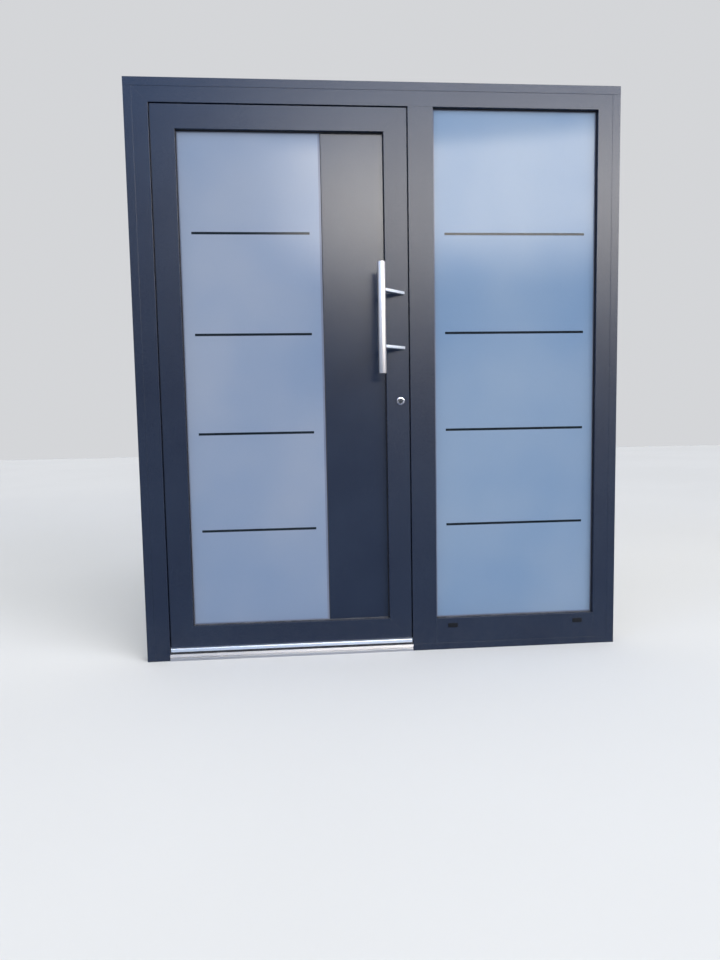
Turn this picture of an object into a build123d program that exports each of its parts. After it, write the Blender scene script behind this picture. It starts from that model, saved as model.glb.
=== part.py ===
from build123d import *
from dataclasses import dataclass
import math
import os

# Aluminium entrance element: a glazed leaf that opens inward, and a fixed sidelight at its right.
# Seen from outside, X runs to the right, Y into the house and Z up, in millimetres.
# The origin is on the floor, in the middle of the element's width and of its profiles' depth.

# Whole element
ELEMENT_WIDTH = 1800.0
ELEMENT_HEIGHT = 2100.0
PROFILE_DEPTH = 75.0
EXTENSION_FACE = 30.0
BASE_HEIGHT = 26.0

# Thermally broken profiles: an outer and an inner aluminium tube joined by two plastic strips
OUTER_SHELL_DEPTH = 29.5
BREAK_DEPTH = 22.0
WALL = 2.0
LIP_DEPTH = 14.0
LAP = 22.0
EDGE_RADIUS = 0.8
STRIP_THICKNESS = 2.0
STRIP_INSET = 9.0
FRAME_FACE = 54.5
MULLION_FACE = 93.0
RAIL_FACE = 96.5

# Leaf
LEAF_WIDTH = 909.5
LEAF_FACE = 84.0
LEAF_GAP = 5.0
LEAF_RISE = 20.0
SEAL_CLEARANCE = 0.5

# Infill: triple glazing, frosted but for four clear strips, and a sandwich panel beside it in the leaf
GASKET_THICKNESS = 4.0
GASKET_SIGHT = 3.0
GASKET_GRIP = 10.0
GASKET_TIP = 1.0
OUTER_PANE = 6.0
INNER_PANES = 4.0
CAVITY = 11.0
EDGE_COVER = 15.0
SPACER_SIGHT = 5.0
BEAD_WALL = 1.5
PANEL_WIDTH = 228.6
JOINT_WIDTH = 3.0
SKIN_THICKNESS = 2.0
FROST_DEPTH = 0.3
FROST_MARGIN = 7.0
CLEAR_STRIPS = 4
CLEAR_STRIP_HEIGHT = 9.0
CLEAR_STRIP_PITCH = 362.0
CLEAR_STRIP_END = 43.0

# Corner cleats inside the mitred tubes
CLEAT_LEG = 70.0
SEAT_CLEARANCE = 0.3

# Threshold, drip bar and bottom seal
THRESHOLD_HEIGHT = 25.0
THRESHOLD_NOSE = 3.5
THRESHOLD_STEP = 11.5
THRESHOLD_GROOVE = 3.0
THRESHOLD_REAR_HEIGHT = 14.0
DRIP_PROJECTION = 12.0
DRIP_HEIGHT = 13.0
DRIP_LEG = 2.0
DRIP_CAP = 6.0
DRIP_LAP = 5.0
LIP_SEAL_THICKNESS = 2.0
SEAL_BODY_HEIGHT = 8.0

# Drainage caps in the sidelight's bottom rail
DRAIN_CAP_WIDTH = 38.0
DRAIN_CAP_HEIGHT = 17.0
DRAIN_CAP_CORNER = 4.0
DRAIN_CAP_PROUD = 2.5
DRAIN_CAP_WALL = 1.2
DRAIN_INSET = 63.0
DRAIN_DROP = 28.0
DRAIN_SLOT_WIDTH = 30.0
DRAIN_SLOT_HEIGHT = 5.0

# Wall fixing: holes through extension and jamb, for 7.5 mm frame screws
FIXING_DIAMETER = 7.5
FIXING_END = 150.0
FIXINGS_PER_JAMB = 4

# Roller hinges on the inner face
HINGE_FROM_END = 200.0
BARREL_RADIUS = 10.0
BARREL_STANDOFF = 12.0
PIN_RADIUS = 5.0
PIN_CLEARANCE = 0.05
KNUCKLE_GAP = 0.5
FRAME_KNUCKLE = 35.0
LEAF_KNUCKLE = 60.0
HINGE_PLATE = 5.0
HINGE_PLATE_WIDTH = 20.0
HINGE_PLATE_CLEARANCE = 1.0
PIN_HEAD = 3.0
PIN_HEAD_BEVEL = 1.5

# Multipoint lock
BACKSET = 55.0
CYLINDER_HEIGHT = 958.0
LEVER_CENTRES = 92.0
FACEPLATE_THICKNESS = 3.0
FACEPLATE_CLEARANCE = 0.1
FACEPLATE_END = 80.0
FACEPLATE_CORNER = 5.0
CASE_RECESS = 3.0
CASE_WALL = 1.5
CASE_BEHIND_SPINDLE = 18.0
CASE_BELOW_CYLINDER = 43.0
CASE_ABOVE_LEVER = 30.0
BOLT_CLEARANCE = 0.3
LATCH_HEIGHT = 30.0
LATCH_THROW = 12.0
LATCH_TAIL = 30.0
LATCH_BEVEL = 9.0
DEADBOLT_HEIGHT = 36.0
DEADBOLT_RISE = 40.0
DEADBOLT_THROW = 20.0
DEADBOLT_TAIL = 36.0
DEADBOLT_SET_BACK = 0.5
ROD_THICKNESS = 3.0
ROD_TRAVEL = 20.0
ROD_END_GAP = 2.0

# Hook bolts above and below the main lock
HOOK_FROM_END = 305.0
HOOK_PIVOT_DEPTH = 22.0
HOOK_REACH = 40.0
HOOK_PRONG = 14.0
HOOK_PRONG_WIDTH = 7.0
HOOK_ARM_HALF = 6.5
HOOK_THICKNESS = 8.0
HOOK_EYE_RADIUS = 8.0
HOOK_PIN_RADIUS = 4.0
HOOK_CASE_DEPTH = 42.0
HOOK_CASE_BELOW = 50.0
HOOK_CASE_ABOVE = 25.0

# Profile cylinder, its outside rosette and the inside lever on a narrow plate
BARREL_OF_CYLINDER = 8.5
LOBE_HALF_WIDTH = 5.0
LOBE_DROP = 24.5
PLUG_RADIUS = 7.0
PLUG_CLEARANCE = 0.07
CAM_GAP = 10.0
CAM_LENGTH = 15.15
CAM_HALF_WIDTH = 4.0
CAM_PLAY = 0.3
CYLINDER_HOLE_CLEARANCE = 0.3
KEYWAY_WIDTH = 2.4
KEYWAY_HEIGHT = 8.0
KEYWAY_DEPTH = 12.0
CYLINDER_PROUD_INSIDE = 3.0
ROSETTE_RADIUS = 15.0
ROSETTE_THICKNESS = 5.0
ROSETTE_BEVEL = 1.5
PLATE_WIDTH = 32.0
PLATE_END = 43.0
PLATE_TOP = 62.0
PLATE_THICKNESS = 8.0
PLATE_CORNER = 8.0
PLATE_BEVEL = 1.0
LEVER_RADIUS = 9.5
LEVER_LENGTH = 128.0
LEVER_STANDOFF = 52.0
LEVER_BEND = 14.0
LEVER_TIP_BEVEL = 1.5
SPINDLE_SIZE = 8.0
SPINDLE_HOLE_RADIUS = 6.4
SPINDLE_IN_LEVER = 18.0
SPINDLE_FIT = 0.05

# Pull bar outside, on two arms set at 45 degrees
BAR_LENGTH = 394.0
BAR_RADIUS = 14.0
BAR_BEVEL = 1.0
BAR_ABOVE_CYLINDER = 296.0
BAR_FIXING_CENTRES = 200.0
FOOT_FROM_LEAF_EDGE = 27.0
BAR_FROM_FOOT = 80.0
ARM_HEIGHT = 12.0
ARM_WIDTH = 20.0
ARM_ROUNDING = 1.5
ARM_SCREW_RADIUS = 4.0
ARM_SCREW_DEPTH = 9.5
ARM_SCREW_HEAD_RADIUS = 6.5
ARM_SCREW_HEAD = 5.0
SCREW_TIP_GAP = 0.8
SCREW_CLEARANCE = 0.2

# Strike side: continuous plate, and an electric strike whose jaw swings clear in day mode
STRIKE_PLATE_THICKNESS = 3.0
STRIKE_CLEARANCE = 1.0
JAW_PIVOT_DEPTH = 15.0
JAW_TIP_DEPTH = 2.0
JAW_THICKNESS = 5.0
JAW_PLAY = 1.0
JAW_PIN_RADIUS = 2.0
JAW_EYE_RADIUS = 4.0
JAW_END_CLEARANCE = 0.3
STRIKE_LUG = 6.0
STRIKE_BODY_SETBACK = 6.0
STRIKE_BODY_MARGIN = 10.0
STRIKE_BODY_OVERRUN = 22.0
STRIKE_BODY_BEHIND = 3.5

# Depths that the profiles share
Y_OUT = -PROFILE_DEPTH / 2
Y_IN = PROFILE_DEPTH / 2
Y_BREAK_OUT = Y_OUT + OUTER_SHELL_DEPTH
Y_BREAK_IN = Y_BREAK_OUT + BREAK_DEPTH
Y_LIP = Y_OUT + LIP_DEPTH
Y_STEP = Y_LIP + LEAF_GAP
Y_GLASS = Y_LIP + GASKET_THICKNESS
UNIT_THICKNESS = OUTER_PANE + 2 * (CAVITY + INNER_PANES)
Y_GLASS_BACK = Y_GLASS + UNIT_THICKNESS
Y_BEAD = Y_GLASS_BACK + GASKET_THICKNESS
Y_LOCK = (Y_BREAK_OUT + Y_BREAK_IN) / 2

SIDES = ("left", "right", "top", "bottom")
INWARD = {"left": (1, 0, 0), "right": (-1, 0, 0), "top": (0, 0, -1), "bottom": (0, 0, 1)}
MITRED = ("mitre", "mitre")
SQUARE = ("square", "square")
STANDING = ("square", "mitre")
REACH = LEAF_FACE + MULLION_FACE


@dataclass(frozen=True)
class Rect:
    """Upright rectangle in the facade, by its X and Z limits."""

    left: float
    bottom: float
    right: float
    top: float

    def grown(self, by):
        """The same rectangle, larger by one distance all round."""
        return Rect(self.left - by, self.bottom - by, self.right + by, self.top + by)

    def at(self, side, across, along):
        """X and Z of a point `across` inward from one side, and `along` that side."""
        return {
            "left": (self.left + across, self.bottom + along),
            "right": (self.right - across, self.bottom + along),
            "top": (self.left + along, self.top - across),
            "bottom": (self.left + along, self.bottom + across),
        }[side]

    def length(self, side):
        """Length of one side."""
        return self.top - self.bottom if side in ("left", "right") else self.right - self.left


# The main frame, the two openings that it makes, and the leaf that fills the first
ELEMENT = Rect(-ELEMENT_WIDTH / 2, 0.0, ELEMENT_WIDTH / 2, ELEMENT_HEIGHT)
FRAME = Rect(
    ELEMENT.left + EXTENSION_FACE, BASE_HEIGHT, ELEMENT.right - EXTENSION_FACE, ELEMENT.top - EXTENSION_FACE
)
LEAF = Rect(
    FRAME.left + FRAME_FACE + LEAF_GAP,
    BASE_HEIGHT + LEAF_RISE,
    FRAME.left + FRAME_FACE + LEAF_GAP + LEAF_WIDTH,
    FRAME.top - FRAME_FACE - LEAF_GAP,
)
DOORWAY = Rect(LEAF.left - LEAF_GAP, 0.0, LEAF.right + LEAF_GAP, LEAF.top + LEAF_GAP)
MULLION = Rect(DOORWAY.right, BASE_HEIGHT, DOORWAY.right + MULLION_FACE, FRAME.top)
BESIDE = Rect(ELEMENT.left, ELEMENT.bottom, ELEMENT.right, FRAME.top)
LEAF_OPENING = LEAF.grown(-LEAF_FACE)
SIDELIGHT = Rect(
    MULLION.right, BASE_HEIGHT + RAIL_FACE, FRAME.right - FRAME_FACE, FRAME.top - FRAME_FACE
)
JOINT_X = LEAF_OPENING.right - PANEL_WIDTH
LEAF_UNIT = Rect(
    LEAF_OPENING.left - EDGE_COVER,
    LEAF_OPENING.bottom - EDGE_COVER,
    JOINT_X - JOINT_WIDTH / 2,
    LEAF_OPENING.top + EDGE_COVER,
)
PANEL = Rect(
    JOINT_X + JOINT_WIDTH / 2, LEAF_UNIT.bottom, LEAF_OPENING.right + EDGE_COVER, LEAF_UNIT.top
)

# Lock and strike reference lines
X_EDGE = LEAF.right + LAP
X_KEEP = X_EDGE + LEAF_GAP
X_SPINDLE = X_EDGE - BACKSET
Z_LEVER = CYLINDER_HEIGHT + LEVER_CENTRES
Z_DEADBOLT = CYLINDER_HEIGHT + DEADBOLT_RISE
Z_HOOKS = (LEAF.bottom + HOOK_FROM_END, LEAF.top - HOOK_FROM_END)
X_HOOK = X_EDGE - HOOK_PIVOT_DEPTH
CASE_THICKNESS = BREAK_DEPTH - 2 * CASE_RECESS
BOLT_THICKNESS = CASE_THICKNESS - 2 * (CASE_WALL + BOLT_CLEARANCE)
CASE_BOTTOM = CYLINDER_HEIGHT - CASE_BELOW_CYLINDER
CASE_TOP = Z_LEVER + CASE_ABOVE_LEVER
CASE_FRONT = X_EDGE - FACEPLATE_THICKNESS
Z_BAR = CYLINDER_HEIGHT + BAR_ABOVE_CYLINDER
JAW_X = X_KEEP + JAW_PIVOT_DEPTH
JAW_Y = Y_LOCK + BOLT_THICKNESS / 2 + JAW_PLAY + JAW_THICKNESS / 2
STRIKE_HALF = LATCH_HEIGHT / 2 + STRIKE_CLEARANCE
FACEPLATE_BOTTOM = Z_HOOKS[0] - FACEPLATE_END
FACEPLATE_TOP = Z_HOOKS[1] + FACEPLATE_END

# Hinge reference lines
HINGE_X = LEAF.left - LAP - LEAF_GAP / 2
HINGE_Y = Y_IN + BARREL_STANDOFF
HINGE_HEIGHT = 2 * FRAME_KNUCKLE + LEAF_KNUCKLE + 2 * KNUCKLE_GAP
HINGE_PLATE_REACH = BARREL_RADIUS + HINGE_PLATE_CLEARANCE


def group(*shapes):
    """Several separate solids as one node, none of them fused."""
    return Compound([solid for shape in shapes for solid in shape.solids()])


def block(x0, x1, y0, y1, z0, z1):
    """Box between two corners."""
    return Pos((x0 + x1) / 2, (y0 + y1) / 2, (z0 + z1) / 2) * Box(x1 - x0, y1 - y0, z1 - z0)


def rod_y(x, z, radius, y0, y1):
    """Round bar along Y."""
    return Pos(x, (y0 + y1) / 2, z) * Rot(90, 0, 0) * Cylinder(radius, y1 - y0)


def rod_z(x, y, radius, z0, z1):
    """Round bar along Z."""
    return Pos(x, y, (z0 + z1) / 2) * Cylinder(radius, z1 - z0)


def slab(outline, y0, y1):
    """Prism over a flat outline of X and Z, between two depths."""
    plane = Plane(origin=(0, y0, 0), x_dir=(1, 0, 0), z_dir=(0, -1, 0))
    return extrude(plane * outline, amount=y1 - y0, dir=(0, 1, 0))


def rect_slab(rect, y0, y1):
    """Flat plate over a rectangle of the facade."""
    return block(rect.left, rect.right, y0, y1, rect.bottom, rect.top)


def outline(points, rounded=()):
    """Closed section through points of (u, depth), its corners at the given depths rounded."""
    face = Polygon(*points, align=None)
    corners = [v for v in face.vertices() if any(math.isclose(v.Y, depth) for depth in rounded)]
    return fillet(corners, EDGE_RADIUS) if corners else face


def tube(points, rounded=()):
    """Section of a hollow profile with an even wall."""
    void = offset(Polygon(*points, align=None), amount=-WALL, kind=Kind.INTERSECTION)
    return outline(points, rounded) - void


def box_points(u0, u1, y0, y1):
    """Corners of a rectangular section."""
    return [(u0, y0), (u1, y0), (u1, y1), (u0, y1)]


def lipped_points(face):
    """Outer shell with a lip toward the opening: jambs, head and bottom rails."""
    return [
        (0, Y_OUT),
        (face, Y_OUT),
        (face, Y_LIP),
        (face - LAP, Y_LIP),
        (face - LAP, Y_BREAK_OUT),
        (0, Y_BREAK_OUT),
    ]


def leaf_points():
    """Outer shell of the leaf, with a lip over the infill and a flange behind the frame's lip."""
    return [
        (0, Y_OUT),
        (LEAF_FACE, Y_OUT),
        (LEAF_FACE, Y_LIP),
        (LEAF_FACE - LAP, Y_LIP),
        (LEAF_FACE - LAP, Y_BREAK_OUT),
        (-LAP, Y_BREAK_OUT),
        (-LAP, Y_STEP),
        (0, Y_STEP),
    ]


def mullion_points():
    """Outer shell of the mullion, with a lip at each side."""
    return [
        (0, Y_OUT),
        (MULLION_FACE, Y_OUT),
        (MULLION_FACE, Y_LIP),
        (MULLION_FACE - LAP, Y_LIP),
        (MULLION_FACE - LAP, Y_BREAK_OUT),
        (LAP, Y_BREAK_OUT),
        (LAP, Y_LIP),
        (0, Y_LIP),
    ]


def shells(outer, u0, u1):
    """Both aluminium tubes of a thermally broken profile; the inner one spans u0 to u1."""
    inner = box_points(u0, u1, Y_BREAK_IN, Y_IN)
    return tube(outer, (Y_OUT,)) + tube(inner, (Y_IN,))


def strips(u0, u1):
    """The two plastic strips between the tubes, one near each side of the inner tube."""
    first = box_points(u0 + STRIP_INSET, u0 + STRIP_INSET + STRIP_THICKNESS, Y_BREAK_OUT, Y_BREAK_IN)
    last = box_points(u1 - STRIP_INSET - STRIP_THICKNESS, u1 - STRIP_INSET, Y_BREAK_OUT, Y_BREAK_IN)
    return Polygon(*first, align=None) + Polygon(*last, align=None)


def member(section, rect, side, ends=MITRED):
    """A section run along one side of a rectangle, its ends mitred at 45 degrees or square."""
    length = rect.length(side)
    start, end = (REACH if kind == "mitre" else 0.0 for kind in ends)
    corners = [(-REACH, -start), (REACH, start), (REACH, length - end), (-REACH, length + end)]
    inward = Vector(*INWARD[side])
    x, z = rect.at(side, 0, length / 2)
    plane = Plane(origin=(x, 0, z), x_dir=inward, z_dir=inward.cross(Vector(0, 1, 0)))
    bar = extrude(plane * section, amount=length / 2 + REACH, both=True)
    cut = Polygon(*[rect.at(side, across, along) for across, along in corners], align=None)
    return bar & slab(cut, -PROFILE_DEPTH, PROFILE_DEPTH)


def ring(section, rect):
    """The same section run round all four sides, joined at its mitres."""
    left, right, top, bottom = (member(section, rect, side) for side in SIDES)
    return left + top + right + bottom


def portal(section, rect):
    """The same section up both sides and across the top, in one piece."""
    left, right = (member(section, rect, side, STANDING) for side in ("left", "right"))
    return left + member(section, rect, "top") + right


def fixing_heights():
    """Heights of the wall fixings, evenly spaced between the two ends."""
    pitch = (ELEMENT_HEIGHT - 2 * FIXING_END) / (FIXINGS_PER_JAMB - 1)
    return [FIXING_END + pitch * i for i in range(FIXINGS_PER_JAMB)]


def fixing_bores():
    """Bores for the frame screws, through both jambs and their extensions."""
    y = (Y_BREAK_IN + Y_IN) / 2
    radius = FIXING_DIAMETER / 2
    bores = []
    for z in fixing_heights():
        bar = Rot(0, 90, 0) * Cylinder(radius, EXTENSION_FACE + FRAME_FACE)
        for side in (-1, 1):
            middle = side * (ELEMENT_WIDTH / 2 - (EXTENSION_FACE + FRAME_FACE) / 2 + LAP)
            bores.append(Pos(middle, y, z) * bar)
    return bores


def frame_jamb(side, bores):
    """Jamb standing on the base profile, mitred to the head."""
    section = shells(lipped_points(FRAME_FACE), 0, FRAME_FACE - LAP)
    return member(section, FRAME, side, STANDING) - bores


def frame_head():
    """Head over leaf and sidelight, mitred to both jambs."""
    section = shells(lipped_points(FRAME_FACE), 0, FRAME_FACE - LAP)
    return member(section, FRAME, "top")


def head_envelope():
    """What the head fills, for coping the mullion to it."""
    filled = outline(lipped_points(FRAME_FACE)) + outline(
        box_points(0, FRAME_FACE - LAP, Y_BREAK_OUT, Y_IN)
    )
    return member(filled, FRAME, "top")


def upright_envelopes():
    """What mullion and right jamb fill, for coping the sidelight's bottom rail to them."""
    mullion = outline(mullion_points()) + outline(
        box_points(LAP, MULLION_FACE - LAP, Y_BREAK_OUT, Y_IN)
    )
    jamb = outline(lipped_points(FRAME_FACE)) + outline(
        box_points(0, FRAME_FACE - LAP, Y_BREAK_OUT, Y_IN)
    )
    return [member(mullion, MULLION, "left", SQUARE), member(jamb, FRAME, "right", SQUARE)]


def rail_rect():
    """Run of the sidelight's bottom rail, between the middles of its neighbours."""
    return Rect(MULLION.left + LAP, BASE_HEIGHT, FRAME.right, SIDELIGHT.top)


def mullion_body():
    """Mullion between leaf and sidelight, coped to the head and milled for the strike."""
    section = shells(mullion_points(), LAP, MULLION_FACE - LAP)
    body = member(section, MULLION, "left", SQUARE) - head_envelope()
    return body - strike_milling()


def sidelight_rail():
    """Bottom rail of the sidelight, coped between mullion and jamb, with its drain slots."""
    section = shells(lipped_points(RAIL_FACE), 0, RAIL_FACE - LAP)
    body = member(section, rail_rect(), "bottom", SQUARE)
    slots = [
        Pos(x, Y_OUT, z) * Box(DRAIN_SLOT_WIDTH, 4 * WALL, DRAIN_SLOT_HEIGHT) for x, z in drain_places()
    ]
    return body - upright_envelopes() - slots


def extension(side):
    """Extension profile beside a jamb, or over the whole head."""
    outer = ELEMENT if side == "top" else BESIDE
    section = shells(box_points(0, EXTENSION_FACE, Y_OUT, Y_BREAK_OUT), 0, EXTENSION_FACE)
    return member(section, outer, side, SQUARE)


def base_rects():
    """Base profiles: under the left jamb, and under mullion, sidelight and right jamb."""
    return (
        Rect(FRAME.left, 0.0, DOORWAY.left, BASE_HEIGHT),
        Rect(DOORWAY.right, 0.0, FRAME.right, BASE_HEIGHT),
    )


def base_profiles():
    """Rectangular base profiles that carry the frame."""
    section = shells(box_points(0, BASE_HEIGHT, Y_OUT, Y_BREAK_OUT), 0, BASE_HEIGHT)
    return group(*[member(section, rect, "bottom", SQUARE) for rect in base_rects()])


def middle_strip(face):
    """The single plastic strip in the middle of a narrow profile."""
    half = STRIP_THICKNESS / 2
    return outline(box_points(face / 2 - half, face / 2 + half, Y_BREAK_OUT, Y_BREAK_IN))


def frame_thermal_breaks():
    """Plastic strips of every profile of the frame."""
    jamb = strips(0, FRAME_FACE - LAP)
    mullion = member(strips(LAP, MULLION_FACE - LAP), MULLION, "left", SQUARE)
    rail = member(strips(0, RAIL_FACE - LAP), rail_rect(), "bottom", SQUARE)
    return group(
        member(jamb, FRAME, "left", STANDING),
        member(jamb, FRAME, "right", STANDING),
        member(jamb, FRAME, "top"),
        mullion - head_envelope() - strike_milling(),
        rail - upright_envelopes(),
        member(middle_strip(EXTENSION_FACE), BESIDE, "left", SQUARE),
        member(middle_strip(EXTENSION_FACE), BESIDE, "right", SQUARE),
        member(middle_strip(EXTENSION_FACE), ELEMENT, "top", SQUARE),
        *[member(middle_strip(BASE_HEIGHT), rect, "bottom", SQUARE) for rect in base_rects()],
    )


def cleat(rect, corner_x, corner_z, near, far, y0, y1):
    """L-shaped block in one corner of a mitred frame."""
    sx = 1 if corner_x == rect.left else -1
    sz = 1 if corner_z == rect.bottom else -1
    leg = CLEAT_LEG
    steps = [(near, near), (leg, near), (leg, far), (far, far), (far, leg), (near, leg)]
    points = [(corner_x + sx * a, corner_z + sz * b) for a, b in steps]
    return slab(Polygon(*points, align=None), y0, y1)


def corner_cleats(rect, corners, chamber):
    """Cleats in the outer and the inner tube at each mitred corner."""
    near = WALL + SEAT_CLEARANCE
    far = chamber - WALL - SEAT_CLEARANCE
    depths = (
        (Y_OUT + WALL + SEAT_CLEARANCE, Y_BREAK_OUT - WALL - SEAT_CLEARANCE),
        (Y_BREAK_IN + WALL + SEAT_CLEARANCE, Y_IN - WALL - SEAT_CLEARANCE),
    )
    return group(*[cleat(rect, x, z, near, far, y0, y1) for x, z in corners for y0, y1 in depths])


def threshold():
    """Low aluminium threshold: a bullnose, a shadow groove, a flat for the seal and a fall inside."""
    nose = Y_OUT - THRESHOLD_NOSE
    lip = Y_OUT - THRESHOLD_NOSE / 2
    points = [
        (nose, 0),
        (nose, THRESHOLD_STEP - WALL),
        (nose + WALL, THRESHOLD_STEP),
        (Y_OUT + WALL, THRESHOLD_STEP),
        (Y_OUT + WALL, THRESHOLD_STEP + THRESHOLD_GROOVE),
        (lip, THRESHOLD_STEP + THRESHOLD_GROOVE),
        (Y_OUT, THRESHOLD_HEIGHT),
        (Y_BREAK_IN, THRESHOLD_HEIGHT),
        (Y_BREAK_IN + THRESHOLD_HEIGHT - THRESHOLD_REAR_HEIGHT, THRESHOLD_REAR_HEIGHT),
        (Y_IN, THRESHOLD_REAR_HEIGHT),
        (Y_IN, 0),
    ]
    solid = Polygon(*points, align=None)
    webs = [Pos(y, THRESHOLD_HEIGHT / 2) * Rectangle(WALL, THRESHOLD_HEIGHT) for y in (Y_LIP, Y_LOCK)]
    void = offset(solid, amount=-WALL, kind=Kind.INTERSECTION) - webs
    plane = Plane(origin=(DOORWAY.left, 0, 0), x_dir=(0, 1, 0), z_dir=(1, 0, 0))
    return extrude(plane * (solid - void), amount=DOORWAY.right - DOORWAY.left, dir=(1, 0, 0))


def bottom_run(points):
    """A section of (depth, height) points run along the leaf's bottom edge."""
    plane = Plane(origin=(LEAF.left, 0, LEAF.bottom), x_dir=(0, 1, 0), z_dir=(1, 0, 0))
    return extrude(plane * Polygon(*points, align=None), amount=LEAF.right - LEAF.left, dir=(1, 0, 0))


def drip_bar():
    """Bright drip bar across the foot of the leaf: a cap with a leg that sheds the water."""
    front = Y_OUT - DRIP_PROJECTION
    bar = bottom_run(
        [
            (Y_OUT, DRIP_LAP),
            (front, DRIP_LAP),
            (front, DRIP_LAP - DRIP_HEIGHT),
            (front + DRIP_LEG, DRIP_LAP - DRIP_HEIGHT),
            (front + DRIP_LEG, DRIP_LAP - DRIP_CAP),
            (Y_OUT, DRIP_LAP - DRIP_CAP),
        ]
    )
    shoulder = bar.edges().filter_by(Axis.X).sort_by(lambda e: e.center().Z - e.center().Y)[-1]
    return fillet(shoulder, DRIP_CAP / 2)


def bottom_seal():
    """Seal under the leaf: a rubber body with two lips that wipe the threshold."""
    drop = THRESHOLD_HEIGHT + SEAL_CLEARANCE - LEAF.bottom
    inner = Y_BREAK_OUT - LIP_SEAL_THICKNESS
    return bottom_run(
        [
            (Y_OUT, 0),
            (Y_OUT, drop),
            (Y_OUT + LIP_SEAL_THICKNESS, drop),
            (Y_OUT + LIP_SEAL_THICKNESS, -SEAL_BODY_HEIGHT),
            (inner, -SEAL_BODY_HEIGHT),
            (inner, drop),
            (inner + LIP_SEAL_THICKNESS, drop),
            (inner + LIP_SEAL_THICKNESS, 0),
        ]
    )


def frame_seal():
    """Stop seal on the back of the frame's lip, round the head and both sides of the doorway."""
    foot = GASKET_GRIP - LIP_SEAL_THICKNESS
    section = Polygon(
        (-foot, Y_LIP),
        (-LIP_SEAL_THICKNESS, Y_LIP),
        (-LIP_SEAL_THICKNESS * 2, Y_STEP - SEAL_CLEARANCE),
        (-foot + LIP_SEAL_THICKNESS, Y_STEP - SEAL_CLEARANCE),
        align=None,
    )
    rect = Rect(DOORWAY.left, LEAF.bottom, DOORWAY.right, DOORWAY.top)
    return portal(section, rect)


def leaf_seal():
    """Inner seal in the leaf's edge, closing the gap to the frame's inner tube."""
    middle = (Y_BREAK_IN + Y_IN) / 2
    half = GASKET_THICKNESS / 2
    section = outline(box_points(SEAL_CLEARANCE - LEAF_GAP, 0, middle + half, middle + 3 * half))
    rect = Rect(LEAF.left - LAP, LEAF.bottom, LEAF.right + LAP, LEAF.top + LAP)
    return portal(section, rect)


def below_leaf():
    """Space under the leaf, where the stiles' flange is cut off."""
    foot = Rect(LEAF.left - REACH, LEAF.bottom - REACH, LEAF.right + REACH, LEAF.bottom)
    return rect_slab(foot, -PROFILE_DEPTH, PROFILE_DEPTH)


def leaf_member(side):
    """Stile or top rail of the leaf, mitred, its flange lapping behind the frame."""
    section = shells(leaf_points(), -LAP, LEAF_FACE - LAP)
    return member(section, LEAF, side) - below_leaf()


def leaf_stile_lock():
    """Lock-side stile, milled for spindle, cylinder and pull-bar screws."""
    return leaf_member("right") - lock_milling()


def leaf_rail_bottom():
    """Bottom rail of the leaf, with no flange, because the threshold is low."""
    section = shells(lipped_points(LEAF_FACE), 0, LEAF_FACE - LAP)
    return member(section, LEAF, "bottom")


def leaf_thermal_breaks():
    """Plastic strips of the leaf's four profiles, cut away at the lock cases."""
    stile = strips(-LAP, LEAF_FACE - LAP)
    return group(
        member(stile, LEAF, "left") - below_leaf(),
        member(stile, LEAF, "right") - below_leaf() - case_envelopes(),
        member(stile, LEAF, "top"),
        member(strips(0, LEAF_FACE - LAP), LEAF, "bottom"),
    )


def beads(opening):
    """Hollow glazing beads inside, clipped into the rebate and mitred at the corners."""
    solid = Polygon(*box_points(-LAP, 0, Y_BEAD, Y_IN), align=None)
    void = offset(solid, amount=-BEAD_WALL, kind=Kind.INTERSECTION)
    sight_edge = solid.vertices().sort_by(lambda v: v.X + v.Y)[-1]
    section = fillet(sight_edge, EDGE_RADIUS) - void
    return group(*[member(section, opening, side) for side in SIDES])


def gaskets(opening):
    """Outer and inner glazing gaskets, each one frame of rubber that slopes down to the glass."""
    rings = []
    for foot, glass, outward in ((Y_LIP, Y_GLASS, -1), (Y_BEAD, Y_GLASS_BACK, 1)):
        section = Polygon(
            (-GASKET_GRIP, foot),
            (0, foot),
            (GASKET_SIGHT, glass + outward * GASKET_TIP),
            (GASKET_SIGHT, glass),
            (-GASKET_GRIP, glass),
            align=None,
        )
        rings.append(ring(section, opening))
    return group(*rings)


def pane_depths():
    """Front depth and thickness of the outer, middle and inner pane."""
    middle = Y_GLASS + OUTER_PANE + CAVITY
    return (
        (Y_GLASS, OUTER_PANE),
        (middle, INNER_PANES),
        (middle + INNER_PANES + CAVITY, INNER_PANES),
    )


def frosted_pane(unit, sight):
    """Outer pane, sandblasted on its inner face all over but for a rim and four clear strips."""
    back = Y_GLASS + OUTER_PANE
    field = sight.grown(-FROST_MARGIN)
    blasted = rect_slab(field, back - FROST_DEPTH, back)
    middle = (LEAF_OPENING.bottom + LEAF_OPENING.top) / 2
    for i in range(CLEAR_STRIPS):
        z = middle + (i - (CLEAR_STRIPS - 1) / 2) * CLEAR_STRIP_PITCH
        blasted -= block(
            sight.left + CLEAR_STRIP_END,
            sight.right - CLEAR_STRIP_END,
            back - 2 * FROST_DEPTH,
            back + FROST_DEPTH,
            z - CLEAR_STRIP_HEIGHT / 2,
            z + CLEAR_STRIP_HEIGHT / 2,
        )
    return rect_slab(unit, Y_GLASS, back) - blasted


def plain_pane(unit, index):
    """Middle or inner pane."""
    y, thickness = pane_depths()[index]
    return rect_slab(unit, y, y + thickness)


def spacers(unit):
    """Spacer bars that part the panes, one frame in each cavity."""
    width = EDGE_COVER + SPACER_SIGHT
    fronts = (Y_GLASS + OUTER_PANE, Y_GLASS + OUTER_PANE + CAVITY + INNER_PANES)
    return group(
        *[rect_slab(unit, y, y + CAVITY) - rect_slab(unit.grown(-width), y, y + CAVITY) for y in fronts]
    )


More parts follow.
